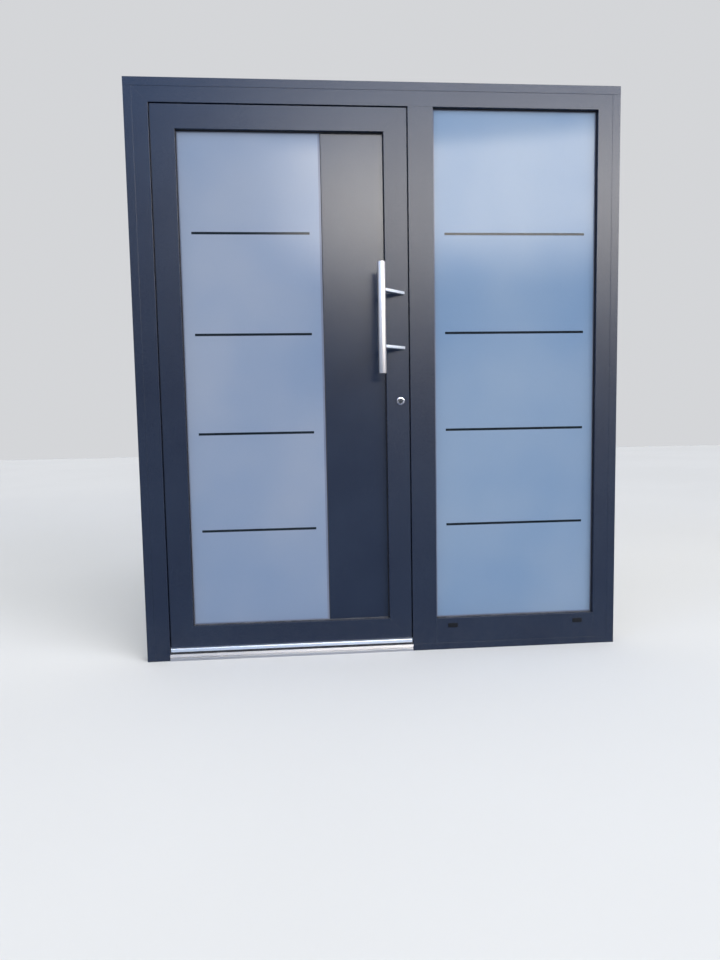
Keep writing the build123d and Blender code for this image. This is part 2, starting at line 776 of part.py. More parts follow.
def panel_skins():
    """Outer and inner aluminium sheet of the sandwich panel."""
    return group(
        rect_slab(PANEL, Y_GLASS, Y_GLASS + SKIN_THICKNESS),
        rect_slab(PANEL, Y_GLASS_BACK - SKIN_THICKNESS, Y_GLASS_BACK),
    )


def panel_core():
    """Insulating core of the sandwich panel."""
    return rect_slab(PANEL, Y_GLASS + SKIN_THICKNESS, Y_GLASS_BACK - SKIN_THICKNESS)


def infill_joint_seal():
    """Sealant joint between the glass unit and the panel."""
    return block(LEAF_UNIT.right, PANEL.left, Y_GLASS, Y_GLASS_BACK, PANEL.bottom, PANEL.top)


def drain_places():
    """X and Z of the two drainage caps."""
    z = SIDELIGHT.bottom - DRAIN_DROP
    return ((SIDELIGHT.left + DRAIN_INSET, z), (SIDELIGHT.right - DRAIN_INSET, z))


def drain_caps():
    """Plastic caps over the drain slots: rounded hoods, open below."""
    hoods = []
    front = Y_OUT - DRAIN_CAP_PROUD
    half = DRAIN_SLOT_WIDTH / 2
    for x, z in drain_places():
        shape = RectangleRounded(DRAIN_CAP_WIDTH, DRAIN_CAP_HEIGHT, DRAIN_CAP_CORNER)
        hood = slab(Pos(x, z) * shape, front, Y_OUT)
        top = z + DRAIN_SLOT_HEIGHT / 2
        mouth = block(x - half, x + half, front + DRAIN_CAP_WALL, Y_OUT, z - DRAIN_CAP_HEIGHT, top)
        hoods.append(hood - mouth)
    return group(*hoods)


def hinge_bottoms():
    """Lower ends of the hinges: one near each end of the leaf, and one midway."""
    low = LEAF.bottom + HINGE_FROM_END
    high = LEAF.top - HINGE_FROM_END - HINGE_HEIGHT
    return (low, (low + high) / 2, high)


def knuckle_heights(z):
    """Lower and upper frame knuckle and the leaf knuckle between them."""
    low = (z, z + FRAME_KNUCKLE)
    mid = (low[1] + KNUCKLE_GAP, low[1] + KNUCKLE_GAP + LEAF_KNUCKLE)
    return low, mid, (mid[1] + KNUCKLE_GAP, mid[1] + KNUCKLE_GAP + FRAME_KNUCKLE)


def knuckle(z0, z1, side):
    """Barrel with the web that joins it to its plate, at the frame's or the leaf's side."""
    barrel = rod_z(HINGE_X, HINGE_Y, BARREL_RADIUS, z0, z1)
    reach = HINGE_X + side * HINGE_PLATE_REACH
    edge = HINGE_X + side * LEAF_GAP / 2
    web = block(min(reach, HINGE_X), max(reach, HINGE_X), Y_IN + HINGE_PLATE / 2, HINGE_Y, z0, z1)
    seat = block(min(reach, edge), max(reach, edge), Y_IN, Y_IN + HINGE_PLATE, z0, z1)
    return barrel + web + seat


def hinge_plate(z, side):
    """Flat plate of a hinge part on the inner face of frame or leaf."""
    near = HINGE_X + side * HINGE_PLATE_REACH
    far = near + side * HINGE_PLATE_WIDTH
    return block(min(near, far), max(near, far), Y_IN, Y_IN + HINGE_PLATE, z, z + HINGE_HEIGHT)


def hinge_frame_parts():
    """Frame parts of the hinges: a plate with a knuckle at each end."""
    parts = []
    for z in hinge_bottoms():
        low, _, top = knuckle_heights(z)
        body = hinge_plate(z, -1) + knuckle(*low, -1) + knuckle(*top, -1)
        parts.append(body - rod_z(HINGE_X, HINGE_Y, PIN_RADIUS + PIN_CLEARANCE, z, z + HINGE_HEIGHT))
    return group(*parts)


def hinge_leaf_parts():
    """Leaf parts of the hinges: a plate with one long knuckle in the middle."""
    parts = []
    for z in hinge_bottoms():
        _, mid, _ = knuckle_heights(z)
        body = hinge_plate(z, 1) + knuckle(*mid, 1)
        parts.append(body - rod_z(HINGE_X, HINGE_Y, PIN_RADIUS + PIN_CLEARANCE, z, z + HINGE_HEIGHT))
    return group(*parts)


def hinge_pins():
    """Hinge pins with a beveled head at each end."""
    pins = []
    for z0 in hinge_bottoms():
        z1 = z0 + HINGE_HEIGHT
        pin = rod_z(HINGE_X, HINGE_Y, PIN_RADIUS, z0, z1)
        for low, end in ((z0 - PIN_HEAD, 0), (z1, 1)):
            head = rod_z(HINGE_X, HINGE_Y, BARREL_RADIUS, low, low + PIN_HEAD)
            rim = head.edges().filter_by(GeomType.CIRCLE).sort_by(Axis.Z)[-end]
            pin += chamfer(rim, PIN_HEAD_BEVEL)
        pins.append(pin)
    return group(*pins)


def euro_profile(grow):
    """Outline of a profile cylinder, larger by one clearance all round."""
    lobe_z = CYLINDER_HEIGHT - LOBE_DROP + LOBE_HALF_WIDTH
    barrel = Pos(X_SPINDLE, CYLINDER_HEIGHT) * Circle(BARREL_OF_CYLINDER + grow)
    web = Pos(X_SPINDLE, (CYLINDER_HEIGHT + lobe_z) / 2) * Rectangle(
        2 * (LOBE_HALF_WIDTH + grow), CYLINDER_HEIGHT - lobe_z
    )
    foot = Pos(X_SPINDLE, lobe_z) * Circle(LOBE_HALF_WIDTH + grow)
    return barrel + web + foot


def cylinder_ends():
    """Outer end, outer end of the lobe and inner end of the cylinder."""
    return (
        Y_OUT - ROSETTE_THICKNESS + CYLINDER_HOLE_CLEARANCE,
        Y_OUT + WALL + CYLINDER_HOLE_CLEARANCE,
        Y_IN + PLATE_THICKNESS + CYLINDER_PROUD_INSIDE,
    )


def cylinder_body():
    """Body of the profile cylinder, bored for its plug, its halves joined below the cam."""
    outer, lobe, inner = cylinder_ends()
    centre = Pos(X_SPINDLE, CYLINDER_HEIGHT)
    bore = centre * Circle(PLUG_RADIUS)
    section = euro_profile(0) - bore
    nose = centre * Circle(BARREL_OF_CYLINDER) - bore
    clear = CAM_LENGTH + 2 * CAM_PLAY
    below_cam = centre * Pos(0, -clear - LOBE_DROP / 2) * Rectangle(4 * LOBE_HALF_WIDTH, LOBE_DROP)
    bridge = euro_profile(0) & below_cam
    gap = (Y_LOCK - CAM_GAP / 2, Y_LOCK + CAM_GAP / 2)
    body = slab(nose, outer, lobe) + slab(section, lobe, gap[0])
    return body + slab(bridge, *gap) + slab(section, gap[1], inner)


def cylinder_plug():
    """Plug that the key turns, with its cam."""
    outer, _, inner = cylinder_ends()
    plug = rod_y(X_SPINDLE, CYLINDER_HEIGHT, PLUG_RADIUS - PLUG_CLEARANCE, outer, inner)
    y0 = Y_LOCK - CAM_GAP / 2 + CAM_PLAY
    y1 = Y_LOCK + CAM_GAP / 2 - CAM_PLAY
    cam = rod_y(X_SPINDLE, CYLINDER_HEIGHT, BARREL_OF_CYLINDER, y0, y1)
    cam += block(
        X_SPINDLE - CAM_HALF_WIDTH,
        X_SPINDLE + CAM_HALF_WIDTH,
        y0,
        y1,
        CYLINDER_HEIGHT - CAM_LENGTH,
        CYLINDER_HEIGHT,
    )
    cam &= rod_y(X_SPINDLE, CYLINDER_HEIGHT, CAM_LENGTH, y0, y1)
    half = KEYWAY_WIDTH / 2
    keyways = [
        block(
            X_SPINDLE - half, X_SPINDLE + half, y, y + KEYWAY_DEPTH,
            CYLINDER_HEIGHT - KEYWAY_HEIGHT / 2, CYLINDER_HEIGHT + KEYWAY_HEIGHT / 2,
        )
        for y in (outer, inner - KEYWAY_DEPTH)
    ]
    return plug + cam - keyways


def rosette_outside():
    """Round steel rosette round the cylinder's outer end."""
    disc = rod_y(X_SPINDLE, CYLINDER_HEIGHT, ROSETTE_RADIUS, Y_OUT - ROSETTE_THICKNESS, Y_OUT)
    rim = disc.edges().filter_by(GeomType.CIRCLE).sort_by(Axis.Y)[0]
    disc = chamfer(rim, ROSETTE_BEVEL)
    hole = rod_y(
        X_SPINDLE, CYLINDER_HEIGHT, BARREL_OF_CYLINDER + CYLINDER_HOLE_CLEARANCE,
        Y_OUT - ROSETTE_THICKNESS, Y_OUT,
    )
    return disc - hole


def handle_plate_inside():
    """Narrow plate inside, with the lever's bearing hole and the cylinder's opening."""
    z0 = CYLINDER_HEIGHT - PLATE_END
    z1 = Z_LEVER + PLATE_TOP
    shape = RectangleRounded(PLATE_WIDTH, z1 - z0, PLATE_CORNER)
    plate = slab(Pos(X_SPINDLE, (z0 + z1) / 2) * shape, Y_IN, Y_IN + PLATE_THICKNESS)
    rim = plate.faces().sort_by(Axis.Y)[-1].edges()
    plate = chamfer(rim, PLATE_BEVEL)
    plate -= slab(euro_profile(CYLINDER_HOLE_CLEARANCE), Y_IN, Y_IN + PLATE_THICKNESS)
    return plate - rod_y(
        X_SPINDLE, Z_LEVER, LEVER_RADIUS + BOLT_CLEARANCE, Y_IN, Y_IN + PLATE_THICKNESS
    )


def lever_handle():
    """Inside lever, bent from one round bar, with a square socket for the spindle."""
    start = Y_IN + PLATE_THICKNESS / 2
    turn = Y_IN + LEVER_STANDOFF
    path = FilletPolyline(
        (X_SPINDLE, start, Z_LEVER),
        (X_SPINDLE, turn, Z_LEVER),
        (X_SPINDLE - LEVER_LENGTH, turn, Z_LEVER),
        radius=LEVER_BEND,
    )
    section = Plane(origin=path @ 0, z_dir=path % 0) * Circle(LEVER_RADIUS)
    lever = sweep(section, path=path)
    tip = lever.faces().sort_by(Axis.X)[0].edges()
    lever = chamfer(tip, LEVER_TIP_BEVEL)
    half = SPINDLE_SIZE / 2 + SPINDLE_FIT
    return lever - block(
        X_SPINDLE - half, X_SPINDLE + half, start, start + SPINDLE_IN_LEVER, Z_LEVER - half, Z_LEVER + half
    )


def lever_spindle():
    """Square spindle from the lock's follower into the lever."""
    half = SPINDLE_SIZE / 2
    end = Y_IN + PLATE_THICKNESS / 2 + SPINDLE_IN_LEVER
    return block(
        X_SPINDLE - half,
        X_SPINDLE + half,
        Y_LOCK - CASE_THICKNESS / 2 + CASE_WALL + BOLT_CLEARANCE,
        end,
        Z_LEVER - half,
        Z_LEVER + half,
    )


def case_shell(x0, x1, z0, z1):
    """Folded steel case, open toward the faceplate."""
    y0 = Y_LOCK - CASE_THICKNESS / 2
    y1 = Y_LOCK + CASE_THICKNESS / 2
    return block(x0, x1, y0, y1, z0, z1) - block(
        x0 + CASE_WALL, x1, y0 + CASE_WALL, y1 - CASE_WALL, z0 + CASE_WALL, z1 - CASE_WALL
    )


def case_limits():
    """X and Z limits of the main case and of both hook cases."""
    back = CASE_FRONT - HOOK_CASE_DEPTH
    hooks = [(back, CASE_FRONT, z - HOOK_CASE_BELOW, z + HOOK_CASE_ABOVE) for z in Z_HOOKS]
    return [(X_SPINDLE - CASE_BEHIND_SPINDLE, CASE_FRONT, CASE_BOTTOM, CASE_TOP)] + hooks


def case_envelopes():
    """Room that the cases take between the leaf's two tubes."""
    return [
        block(x0 - SEAT_CLEARANCE, x1 + FACEPLATE_THICKNESS, Y_BREAK_OUT, Y_BREAK_IN,
              z0 - SEAT_CLEARANCE, z1 + SEAT_CLEARANCE)
        for x0, x1, z0, z1 in case_limits()
    ]


def lock_cases():
    """Main lock case and the two hook cases, the latter with their pivot pins."""
    main, *hooks = case_limits()
    y0 = Y_LOCK - CASE_THICKNESS / 2
    y1 = Y_LOCK + CASE_THICKNESS / 2
    body = case_shell(*main) - slab(euro_profile(CYLINDER_HOLE_CLEARANCE), y0, y1)
    body -= rod_y(X_SPINDLE, Z_LEVER, SPINDLE_HOLE_RADIUS, Y_LOCK, y1)
    cases = [body]
    for limits, z in zip(hooks, Z_HOOKS):
        pin = rod_y(X_HOOK, z, HOOK_PIN_RADIUS, y0 + CASE_WALL / 2, y1 - CASE_WALL / 2)
        cases.append(case_shell(*limits) + pin)
    return group(*cases)


def hook_slot(distance):
    """Z limits, about the pivot, of what a hook sweeps at a distance in front of it."""
    radius = math.hypot(HOOK_REACH, HOOK_PRONG)
    low = -math.sqrt(radius**2 - distance**2) - STRIKE_CLEARANCE
    return low, HOOK_ARM_HALF + STRIKE_CLEARANCE


def long_plate(x0, x1, z0, z1):
    """Long flat plate between the tubes of leaf or mullion, with round ends."""
    width = BREAK_DEPTH - 2 * FACEPLATE_CLEARANCE
    shape = RectangleRounded(width, z1 - z0, FACEPLATE_CORNER)
    plane = Plane(origin=(x0, Y_LOCK, (z0 + z1) / 2), x_dir=(0, 1, 0), z_dir=(1, 0, 0))
    return extrude(plane * shape, amount=x1 - x0, dir=(1, 0, 0))


def lock_faceplate():
    """Faceplate along the leaf's edge, slotted for latch, deadbolt and hooks."""
    plate = long_plate(CASE_FRONT, X_EDGE, FACEPLATE_BOTTOM, FACEPLATE_TOP)
    half = BOLT_THICKNESS / 2 + BOLT_CLEARANCE
    slots = []
    for z, height in ((Z_LEVER, LATCH_HEIGHT), (Z_DEADBOLT, DEADBOLT_HEIGHT)):
        reach = height / 2 + BOLT_CLEARANCE
        slots.append(block(CASE_FRONT, X_EDGE, Y_LOCK - half, Y_LOCK + half, z - reach, z + reach))
    low, high = hook_slot(HOOK_PIVOT_DEPTH - FACEPLATE_THICKNESS)
    half = HOOK_THICKNESS / 2 + STRIKE_CLEARANCE
    for z in Z_HOOKS:
        slots.append(block(CASE_FRONT, X_EDGE, Y_LOCK - half, Y_LOCK + half, z + low, z + high))
    return plate - slots


def latch_bolt():
    """Sprung latch: a block with a beveled nose that rides over the strike as the door shuts."""
    half = BOLT_THICKNESS / 2
    nose = X_EDGE + LATCH_THROW
    back = X_EDGE - LATCH_TAIL
    points = [
        (back, Y_LOCK - half),
        (X_EDGE, Y_LOCK - half),
        (nose, Y_LOCK - half + LATCH_BEVEL),
        (nose, Y_LOCK + half),
        (back, Y_LOCK + half),
    ]
    plane = Plane.XY.offset(Z_LEVER - LATCH_HEIGHT / 2)
    return extrude(plane * Polygon(*points, align=None), amount=LATCH_HEIGHT, dir=(0, 0, 1))


def deadbolt():
    """Deadbolt, drawn back behind the faceplate while the door is unlocked."""
    half = BOLT_THICKNESS / 2
    front = X_EDGE - DEADBOLT_SET_BACK
    bolt = block(
        front - DEADBOLT_TAIL, front, Y_LOCK - half, Y_LOCK + half,
        Z_DEADBOLT - DEADBOLT_HEIGHT / 2, Z_DEADBOLT + DEADBOLT_HEIGHT / 2,
    )
    corners = bolt.edges().filter_by(Axis.Y).sort_by(Axis.X)[-2:]
    return fillet(corners, 2 * EDGE_RADIUS)


def hook_bolt(z):
    """Hook bolt, hanging in its case while unlocked; locking swings it out and up."""
    out = [
        (0, -HOOK_ARM_HALF),
        (HOOK_REACH - HOOK_PRONG_WIDTH, -HOOK_ARM_HALF),
        (HOOK_REACH, -HOOK_ARM_HALF / 2),
        (HOOK_REACH, HOOK_PRONG),
        (HOOK_REACH - HOOK_PRONG_WIDTH, HOOK_PRONG),
        (HOOK_REACH - HOOK_PRONG_WIDTH, HOOK_ARM_HALF),
        (0, HOOK_ARM_HALF),
    ]
    arm = Polygon(*[(X_HOOK + up, z - reach) for reach, up in out], align=None)
    eye = Pos(X_HOOK, z) * Circle(HOOK_EYE_RADIUS)
    bore = Pos(X_HOOK, z) * Circle(HOOK_PIN_RADIUS + PIN_CLEARANCE)
    return slab(arm + eye - bore, Y_LOCK - HOOK_THICKNESS / 2, Y_LOCK + HOOK_THICKNESS / 2)


def drive_rods():
    """Flat drive rods behind the faceplate, from the main case to both hook cases."""
    x1 = CASE_FRONT - BOLT_CLEARANCE
    x0 = x1 - ROD_THICKNESS
    y0 = Y_LOCK - CASE_THICKNESS / 2
    y1 = Y_LOCK + CASE_THICKNESS / 2
    lower = (Z_HOOKS[0] + HOOK_CASE_ABOVE + ROD_END_GAP, CASE_BOTTOM - ROD_TRAVEL - ROD_END_GAP)
    upper = (CASE_TOP + ROD_END_GAP, Z_HOOKS[1] - HOOK_CASE_BELOW - ROD_TRAVEL - ROD_END_GAP)
    return group(*[block(x0, x1, y0, y1, *ends) for ends in (lower, upper)])


def foot_x():
    """X of the pull bar's feet on the lock stile."""
    return LEAF.right - FOOT_FROM_LEAF_EDGE


def arm_heights():
    """Heights of the pull bar's two arms."""
    half = BAR_FIXING_CENTRES / 2
    return (Z_BAR - half, Z_BAR + half)


def lock_milling():
    """Holes in the lock stile's tubes."""
    outer_wall = rod_y(
        X_SPINDLE, CYLINDER_HEIGHT, BARREL_OF_CYLINDER + CYLINDER_HOLE_CLEARANCE, Y_OUT, Y_OUT + WALL
    )
    behind = slab(euro_profile(CYLINDER_HOLE_CLEARANCE), Y_BREAK_OUT - WALL, Y_IN)
    spindle = rod_y(X_SPINDLE, Z_LEVER, LEVER_RADIUS, Y_BREAK_IN, Y_IN)
    screws = [
        rod_y(foot_x(), z, ARM_SCREW_RADIUS + SCREW_CLEARANCE, Y_OUT, Y_OUT + WALL) for z in arm_heights()
    ]
    return [outer_wall, behind, spindle, *screws]


def pull_bar():
    """Round stainless pull bar."""
    z0 = Z_BAR - BAR_LENGTH / 2
    bar = rod_z(foot_x() - BAR_FROM_FOOT, Y_OUT - BAR_FROM_FOOT, BAR_RADIUS, z0, z0 + BAR_LENGTH)
    return chamfer(bar.edges().filter_by(GeomType.CIRCLE), BAR_BEVEL)


def pull_bar_arms():
    """Flat arms at 45 degrees, cut flush to the leaf and saddled to the bar."""
    bar_x = foot_x() - BAR_FROM_FOOT
    bar_y = Y_OUT - BAR_FROM_FOOT
    arms = []
    for z in arm_heights():
        middle = Pos((bar_x + foot_x()) / 2, (bar_y + Y_OUT) / 2, z)
        length = BAR_FROM_FOOT * math.sqrt(2) + 2 * ARM_WIDTH
        arm = Box(length, ARM_WIDTH, ARM_HEIGHT)
        arm = middle * Rot(0, 0, 45) * fillet(arm.edges().filter_by(Axis.X), ARM_ROUNDING)
        behind_face = Rect(bar_x, z - ARM_HEIGHT, foot_x() + length, z + ARM_HEIGHT)
        arm -= rect_slab(behind_face, Y_OUT, Y_OUT + length)
        beyond_bar = Pos(bar_x, bar_y, z) * Rot(0, 0, 45) * Pos(-length / 2, 0, 0)
        arm -= beyond_bar * Box(length, length, 2 * ARM_HEIGHT)
        arm -= rod_z(bar_x, bar_y, BAR_RADIUS, z - ARM_HEIGHT, z + ARM_HEIGHT)
        arm -= rod_y(foot_x(), z, ARM_SCREW_RADIUS, Y_OUT - ARM_SCREW_DEPTH, Y_OUT)
        arms.append(arm)
    return group(*arms)


def pull_bar_screws():
    """Cap screws from inside the stile's outer tube into the arms."""
    screws = []
    tip = Y_OUT - ARM_SCREW_DEPTH + SCREW_TIP_GAP
    under_head = Y_OUT + WALL
    for z in arm_heights():
        shank = rod_y(foot_x(), z, ARM_SCREW_RADIUS - PIN_CLEARANCE, tip, under_head)
        head = rod_y(foot_x(), z, ARM_SCREW_HEAD_RADIUS, under_head, under_head + ARM_SCREW_HEAD)
        screws.append(shank + head)
    return group(*screws)


def strike_milling():
    """Cut-outs in the mullion: the latch's way out to the inside, and room for the strike and bolts."""
    way_out = block(
        X_KEEP - WALL, JAW_X + JAW_EYE_RADIUS + JAW_END_CLEARANCE, Y_BREAK_IN - WALL, Y_IN + WALL,
        Z_LEVER - STRIKE_HALF, Z_LEVER + STRIKE_HALF,
    )
    _, x1, _, y1, z0, z1 = strike_body_limits()
    pocket = block(
        X_KEEP + STRIKE_PLATE_THICKNESS, x1 + SEAT_CLEARANCE, Y_BREAK_OUT,
        y1 + SEAT_CLEARANCE, z0 - SEAT_CLEARANCE, z1 + SEAT_CLEARANCE,
    )
    reach = DEADBOLT_HEIGHT / 2 + STRIKE_CLEARANCE
    deadbolt_room = block(
        X_KEEP, X_KEEP + DEADBOLT_THROW, Y_BREAK_OUT, Y_BREAK_IN, Z_DEADBOLT - reach, Z_DEADBOLT + reach
    )
    hook_rooms = [
        block(X_KEEP, X_HOOK + HOOK_REACH + 2 * STRIKE_CLEARANCE, Y_BREAK_OUT, Y_BREAK_IN,
              z - HOOK_REACH, z + HOOK_PRONG + 2 * STRIKE_CLEARANCE)
        for z in Z_HOOKS
    ]
    return [way_out, pocket, deadbolt_room, *hook_rooms]


def strike_plate():
    """Continuous strike plate on the mullion, open toward the inside at the latch."""
    plate = long_plate(X_KEEP, X_KEEP + STRIKE_PLATE_THICKNESS, FACEPLATE_BOTTOM, FACEPLATE_TOP)
    x1 = X_KEEP + STRIKE_PLATE_THICKNESS
    half = BOLT_THICKNESS / 2 + STRIKE_CLEARANCE
    latch = block(X_KEEP, x1, Y_LOCK - half, Y_BREAK_IN, Z_LEVER - STRIKE_HALF, Z_LEVER + STRIKE_HALF)
    reach = DEADBOLT_HEIGHT / 2 + STRIKE_CLEARANCE
    bolt = block(X_KEEP, x1, Y_LOCK - half, Y_LOCK + half, Z_DEADBOLT - reach, Z_DEADBOLT + reach)
    low, high = hook_slot(X_KEEP - X_HOOK)
    half = HOOK_THICKNESS / 2 + STRIKE_CLEARANCE
    hooks = [block(X_KEEP, x1, Y_LOCK - half, Y_LOCK + half, z + low, z + high) for z in Z_HOOKS]
    return plate - [latch, bolt, *hooks]


def strike_body_limits():
    """X, Y and Z limits of the electric strike's body."""
    x0 = JAW_X + STRIKE_BODY_SETBACK
    y0 = Y_LOCK - CASE_THICKNESS / 2
    half = STRIKE_HALF + STRIKE_BODY_OVERRUN
    x1 = MULLION.right - LAP - STRIKE_BODY_MARGIN
    return (x0, x1, y0, Y_IN - WALL - STRIKE_BODY_BEHIND, Z_LEVER - half, Z_LEVER + half)


def strike_body():
    """Electric strike behind the strike plate, its two lugs carrying the jaw's pin."""
    x0, x1, y0, y1, z0, z1 = strike_body_limits()
    body = block(x0, x1, y0, y1, z0, z1)
    for z in (Z_LEVER - STRIKE_HALF - STRIKE_LUG, Z_LEVER + STRIKE_HALF):
        lug = block(JAW_X, x0, JAW_Y - JAW_EYE_RADIUS, JAW_Y + JAW_EYE_RADIUS, z, z + STRIKE_LUG)
        body += lug + rod_z(JAW_X, JAW_Y, JAW_EYE_RADIUS, z, z + STRIKE_LUG)
    return body + rod_z(JAW_X, JAW_Y, JAW_PIN_RADIUS, Z_LEVER - STRIKE_HALF, Z_LEVER + STRIKE_HALF)


def strike_jaw():
    """Jaw that holds the latch; in day mode it stands open and lets the latch pass."""
    half = STRIKE_HALF - JAW_END_CLEARANCE
    z0, z1 = Z_LEVER - half, Z_LEVER + half
    length = JAW_X - X_KEEP - JAW_TIP_DEPTH
    blade = block(JAW_X - JAW_THICKNESS / 2, JAW_X + JAW_THICKNESS / 2, JAW_Y, JAW_Y + length, z0, z1)
    jaw = blade + rod_z(JAW_X, JAW_Y, JAW_EYE_RADIUS, z0, z1)
    return jaw - rod_z(JAW_X, JAW_Y, JAW_PIN_RADIUS + PIN_CLEARANCE, z0, z1)


def frame_parts():
    """Nodes that stand still: frame, sidelight and strike."""
    bores = fixing_bores()
    unit = SIDELIGHT.grown(EDGE_COVER)
    top_corners = [(FRAME.left, FRAME.top), (FRAME.right, FRAME.top)]
    return {
        "frame_jamb_left": frame_jamb("left", bores),
        "frame_jamb_right": frame_jamb("right", bores),
        "frame_head": frame_head(),
        "mullion": mullion_body(),
        "sidelight_rail": sidelight_rail(),
        "frame_thermal_breaks": frame_thermal_breaks(),
        "frame_corner_cleats": corner_cleats(FRAME, top_corners, FRAME_FACE - LAP),
        "extension_left": extension("left") - bores,
        "extension_right": extension("right") - bores,
        "extension_head": extension("top"),
        "base_profiles": base_profiles(),
        "threshold": threshold(),
        "sidelight_pane_frosted": frosted_pane(unit, SIDELIGHT),
        "sidelight_pane_middle": plain_pane(unit, 1),
        "sidelight_pane_inner": plain_pane(unit, 2),
        "sidelight_spacers": spacers(unit),
        "sidelight_beads": beads(SIDELIGHT),
        "sidelight_gaskets": gaskets(SIDELIGHT),
        "drain_caps": drain_caps(),
        "frame_seal": frame_seal(),
        "strike_plate": strike_plate(),
        "strike_body": strike_body(),
        "strike_jaw": strike_jaw(),
        "hinge_frame_parts": hinge_frame_parts(),
        "hinge_pins": hinge_pins(),
    }


def leaf_parts():
    """Nodes of the leaf, its infill and its hardware."""
    sight = Rect(LEAF_OPENING.left, LEAF_OPENING.bottom, LEAF_UNIT.right, LEAF_OPENING.top)
    corners = [(x, z) for x in (LEAF.left, LEAF.right) for z in (LEAF.bottom, LEAF.top)]
    return {
        "leaf_stile_hinge": leaf_member("left"),
        "leaf_stile_lock": leaf_stile_lock(),
        "leaf_rail_top": leaf_member("top"),
        "leaf_rail_bottom": leaf_rail_bottom(),
        "leaf_thermal_breaks": leaf_thermal_breaks(),
        "leaf_corner_cleats": corner_cleats(LEAF, corners, LEAF_FACE - LAP),
        "leaf_pane_frosted": frosted_pane(LEAF_UNIT, sight),
        "leaf_pane_middle": plain_pane(LEAF_UNIT, 1),
        "leaf_pane_inner": plain_pane(LEAF_UNIT, 2),
        "leaf_spacers": spacers(LEAF_UNIT),
        "panel_skins": panel_skins(),
        "panel_core": panel_core(),
        "infill_joint_seal": infill_joint_seal(),
        "leaf_beads": beads(LEAF_OPENING),
        "leaf_gaskets": gaskets(LEAF_OPENING),
        "leaf_seal": leaf_seal(),
        "drip_bar": drip_bar(),
        "bottom_seal": bottom_seal(),
        "hinge_leaf_parts": hinge_leaf_parts(),
        "pull_bar": pull_bar(),
        "pull_bar_arms": pull_bar_arms(),
        "pull_bar_screws": pull_bar_screws(),
        "rosette_outside": rosette_outside(),
        "handle_plate_inside": handle_plate_inside(),
    }


def lock_parts():
    """Nodes of the multipoint lock, its cylinder and its lever."""
    return {
        "lock_cases": lock_cases(),
        "lock_faceplate": lock_faceplate(),
        "cylinder_body": cylinder_body(),
        "cylinder_plug": cylinder_plug(),
        "latch_bolt": latch_bolt(),
        "deadbolt": deadbolt(),
        "hook_bolt_lower": hook_bolt(Z_HOOKS[0]),
        "hook_bolt_upper": hook_bolt(Z_HOOKS[1]),
        "drive_rods": drive_rods(),
        "lever_handle": lever_handle(),
        "lever_spindle": lever_spindle(),
    }


os.makedirs("parts", exist_ok=True)
for name, shape in {**frame_parts(), **leaf_parts(), **lock_parts()}.items():
    export_step(shape, f"parts/{name}.step")
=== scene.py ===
import logging
import math
from collections.abc import Mapping, Sequence
from dataclasses import dataclass, field
from enum import Enum
from functools import cache
from typing import Any, ClassVar

import bpy
from mathutils import Matrix, Vector


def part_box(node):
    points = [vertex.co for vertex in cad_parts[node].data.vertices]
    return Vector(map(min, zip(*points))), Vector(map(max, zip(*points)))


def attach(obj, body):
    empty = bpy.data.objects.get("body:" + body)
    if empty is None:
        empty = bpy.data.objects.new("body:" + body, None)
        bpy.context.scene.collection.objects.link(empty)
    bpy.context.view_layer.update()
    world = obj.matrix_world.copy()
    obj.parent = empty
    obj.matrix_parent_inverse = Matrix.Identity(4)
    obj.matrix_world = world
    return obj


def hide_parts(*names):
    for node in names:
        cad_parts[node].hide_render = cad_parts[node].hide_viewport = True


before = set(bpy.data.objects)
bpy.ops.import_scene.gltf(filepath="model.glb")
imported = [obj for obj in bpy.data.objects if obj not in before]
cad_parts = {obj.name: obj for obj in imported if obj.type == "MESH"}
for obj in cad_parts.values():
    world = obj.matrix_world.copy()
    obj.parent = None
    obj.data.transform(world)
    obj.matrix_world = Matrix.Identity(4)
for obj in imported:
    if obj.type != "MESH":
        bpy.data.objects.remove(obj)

LOG = logging.getLogger("entrance_door")
MM = 0.001
Triple = tuple[float, float, float]
Colour = Triple
Span = tuple[float, float]
Point = Sequence[float]
Piece = bpy.types.Object
Group = bpy.types.NodeTree
Socket = bpy.types.NodeSocket


class Effect(Enum):
    """The surface effects that several finishes share."""

    GRAIN = "fine_grain"
    TONE = "cloud_tone"
    DUST = "settled_dust"
    EDGE = "rounded_edge"


class Facing(Enum):
    """The way a screw head looks out of its plate."""

    INWARD = (0.0, 1.0, 0.0)
    LOCK_SIDE = (1.0, 0.0, 0.0)
    HINGE_SIDE = (-1.0, 0.0, 0.0)


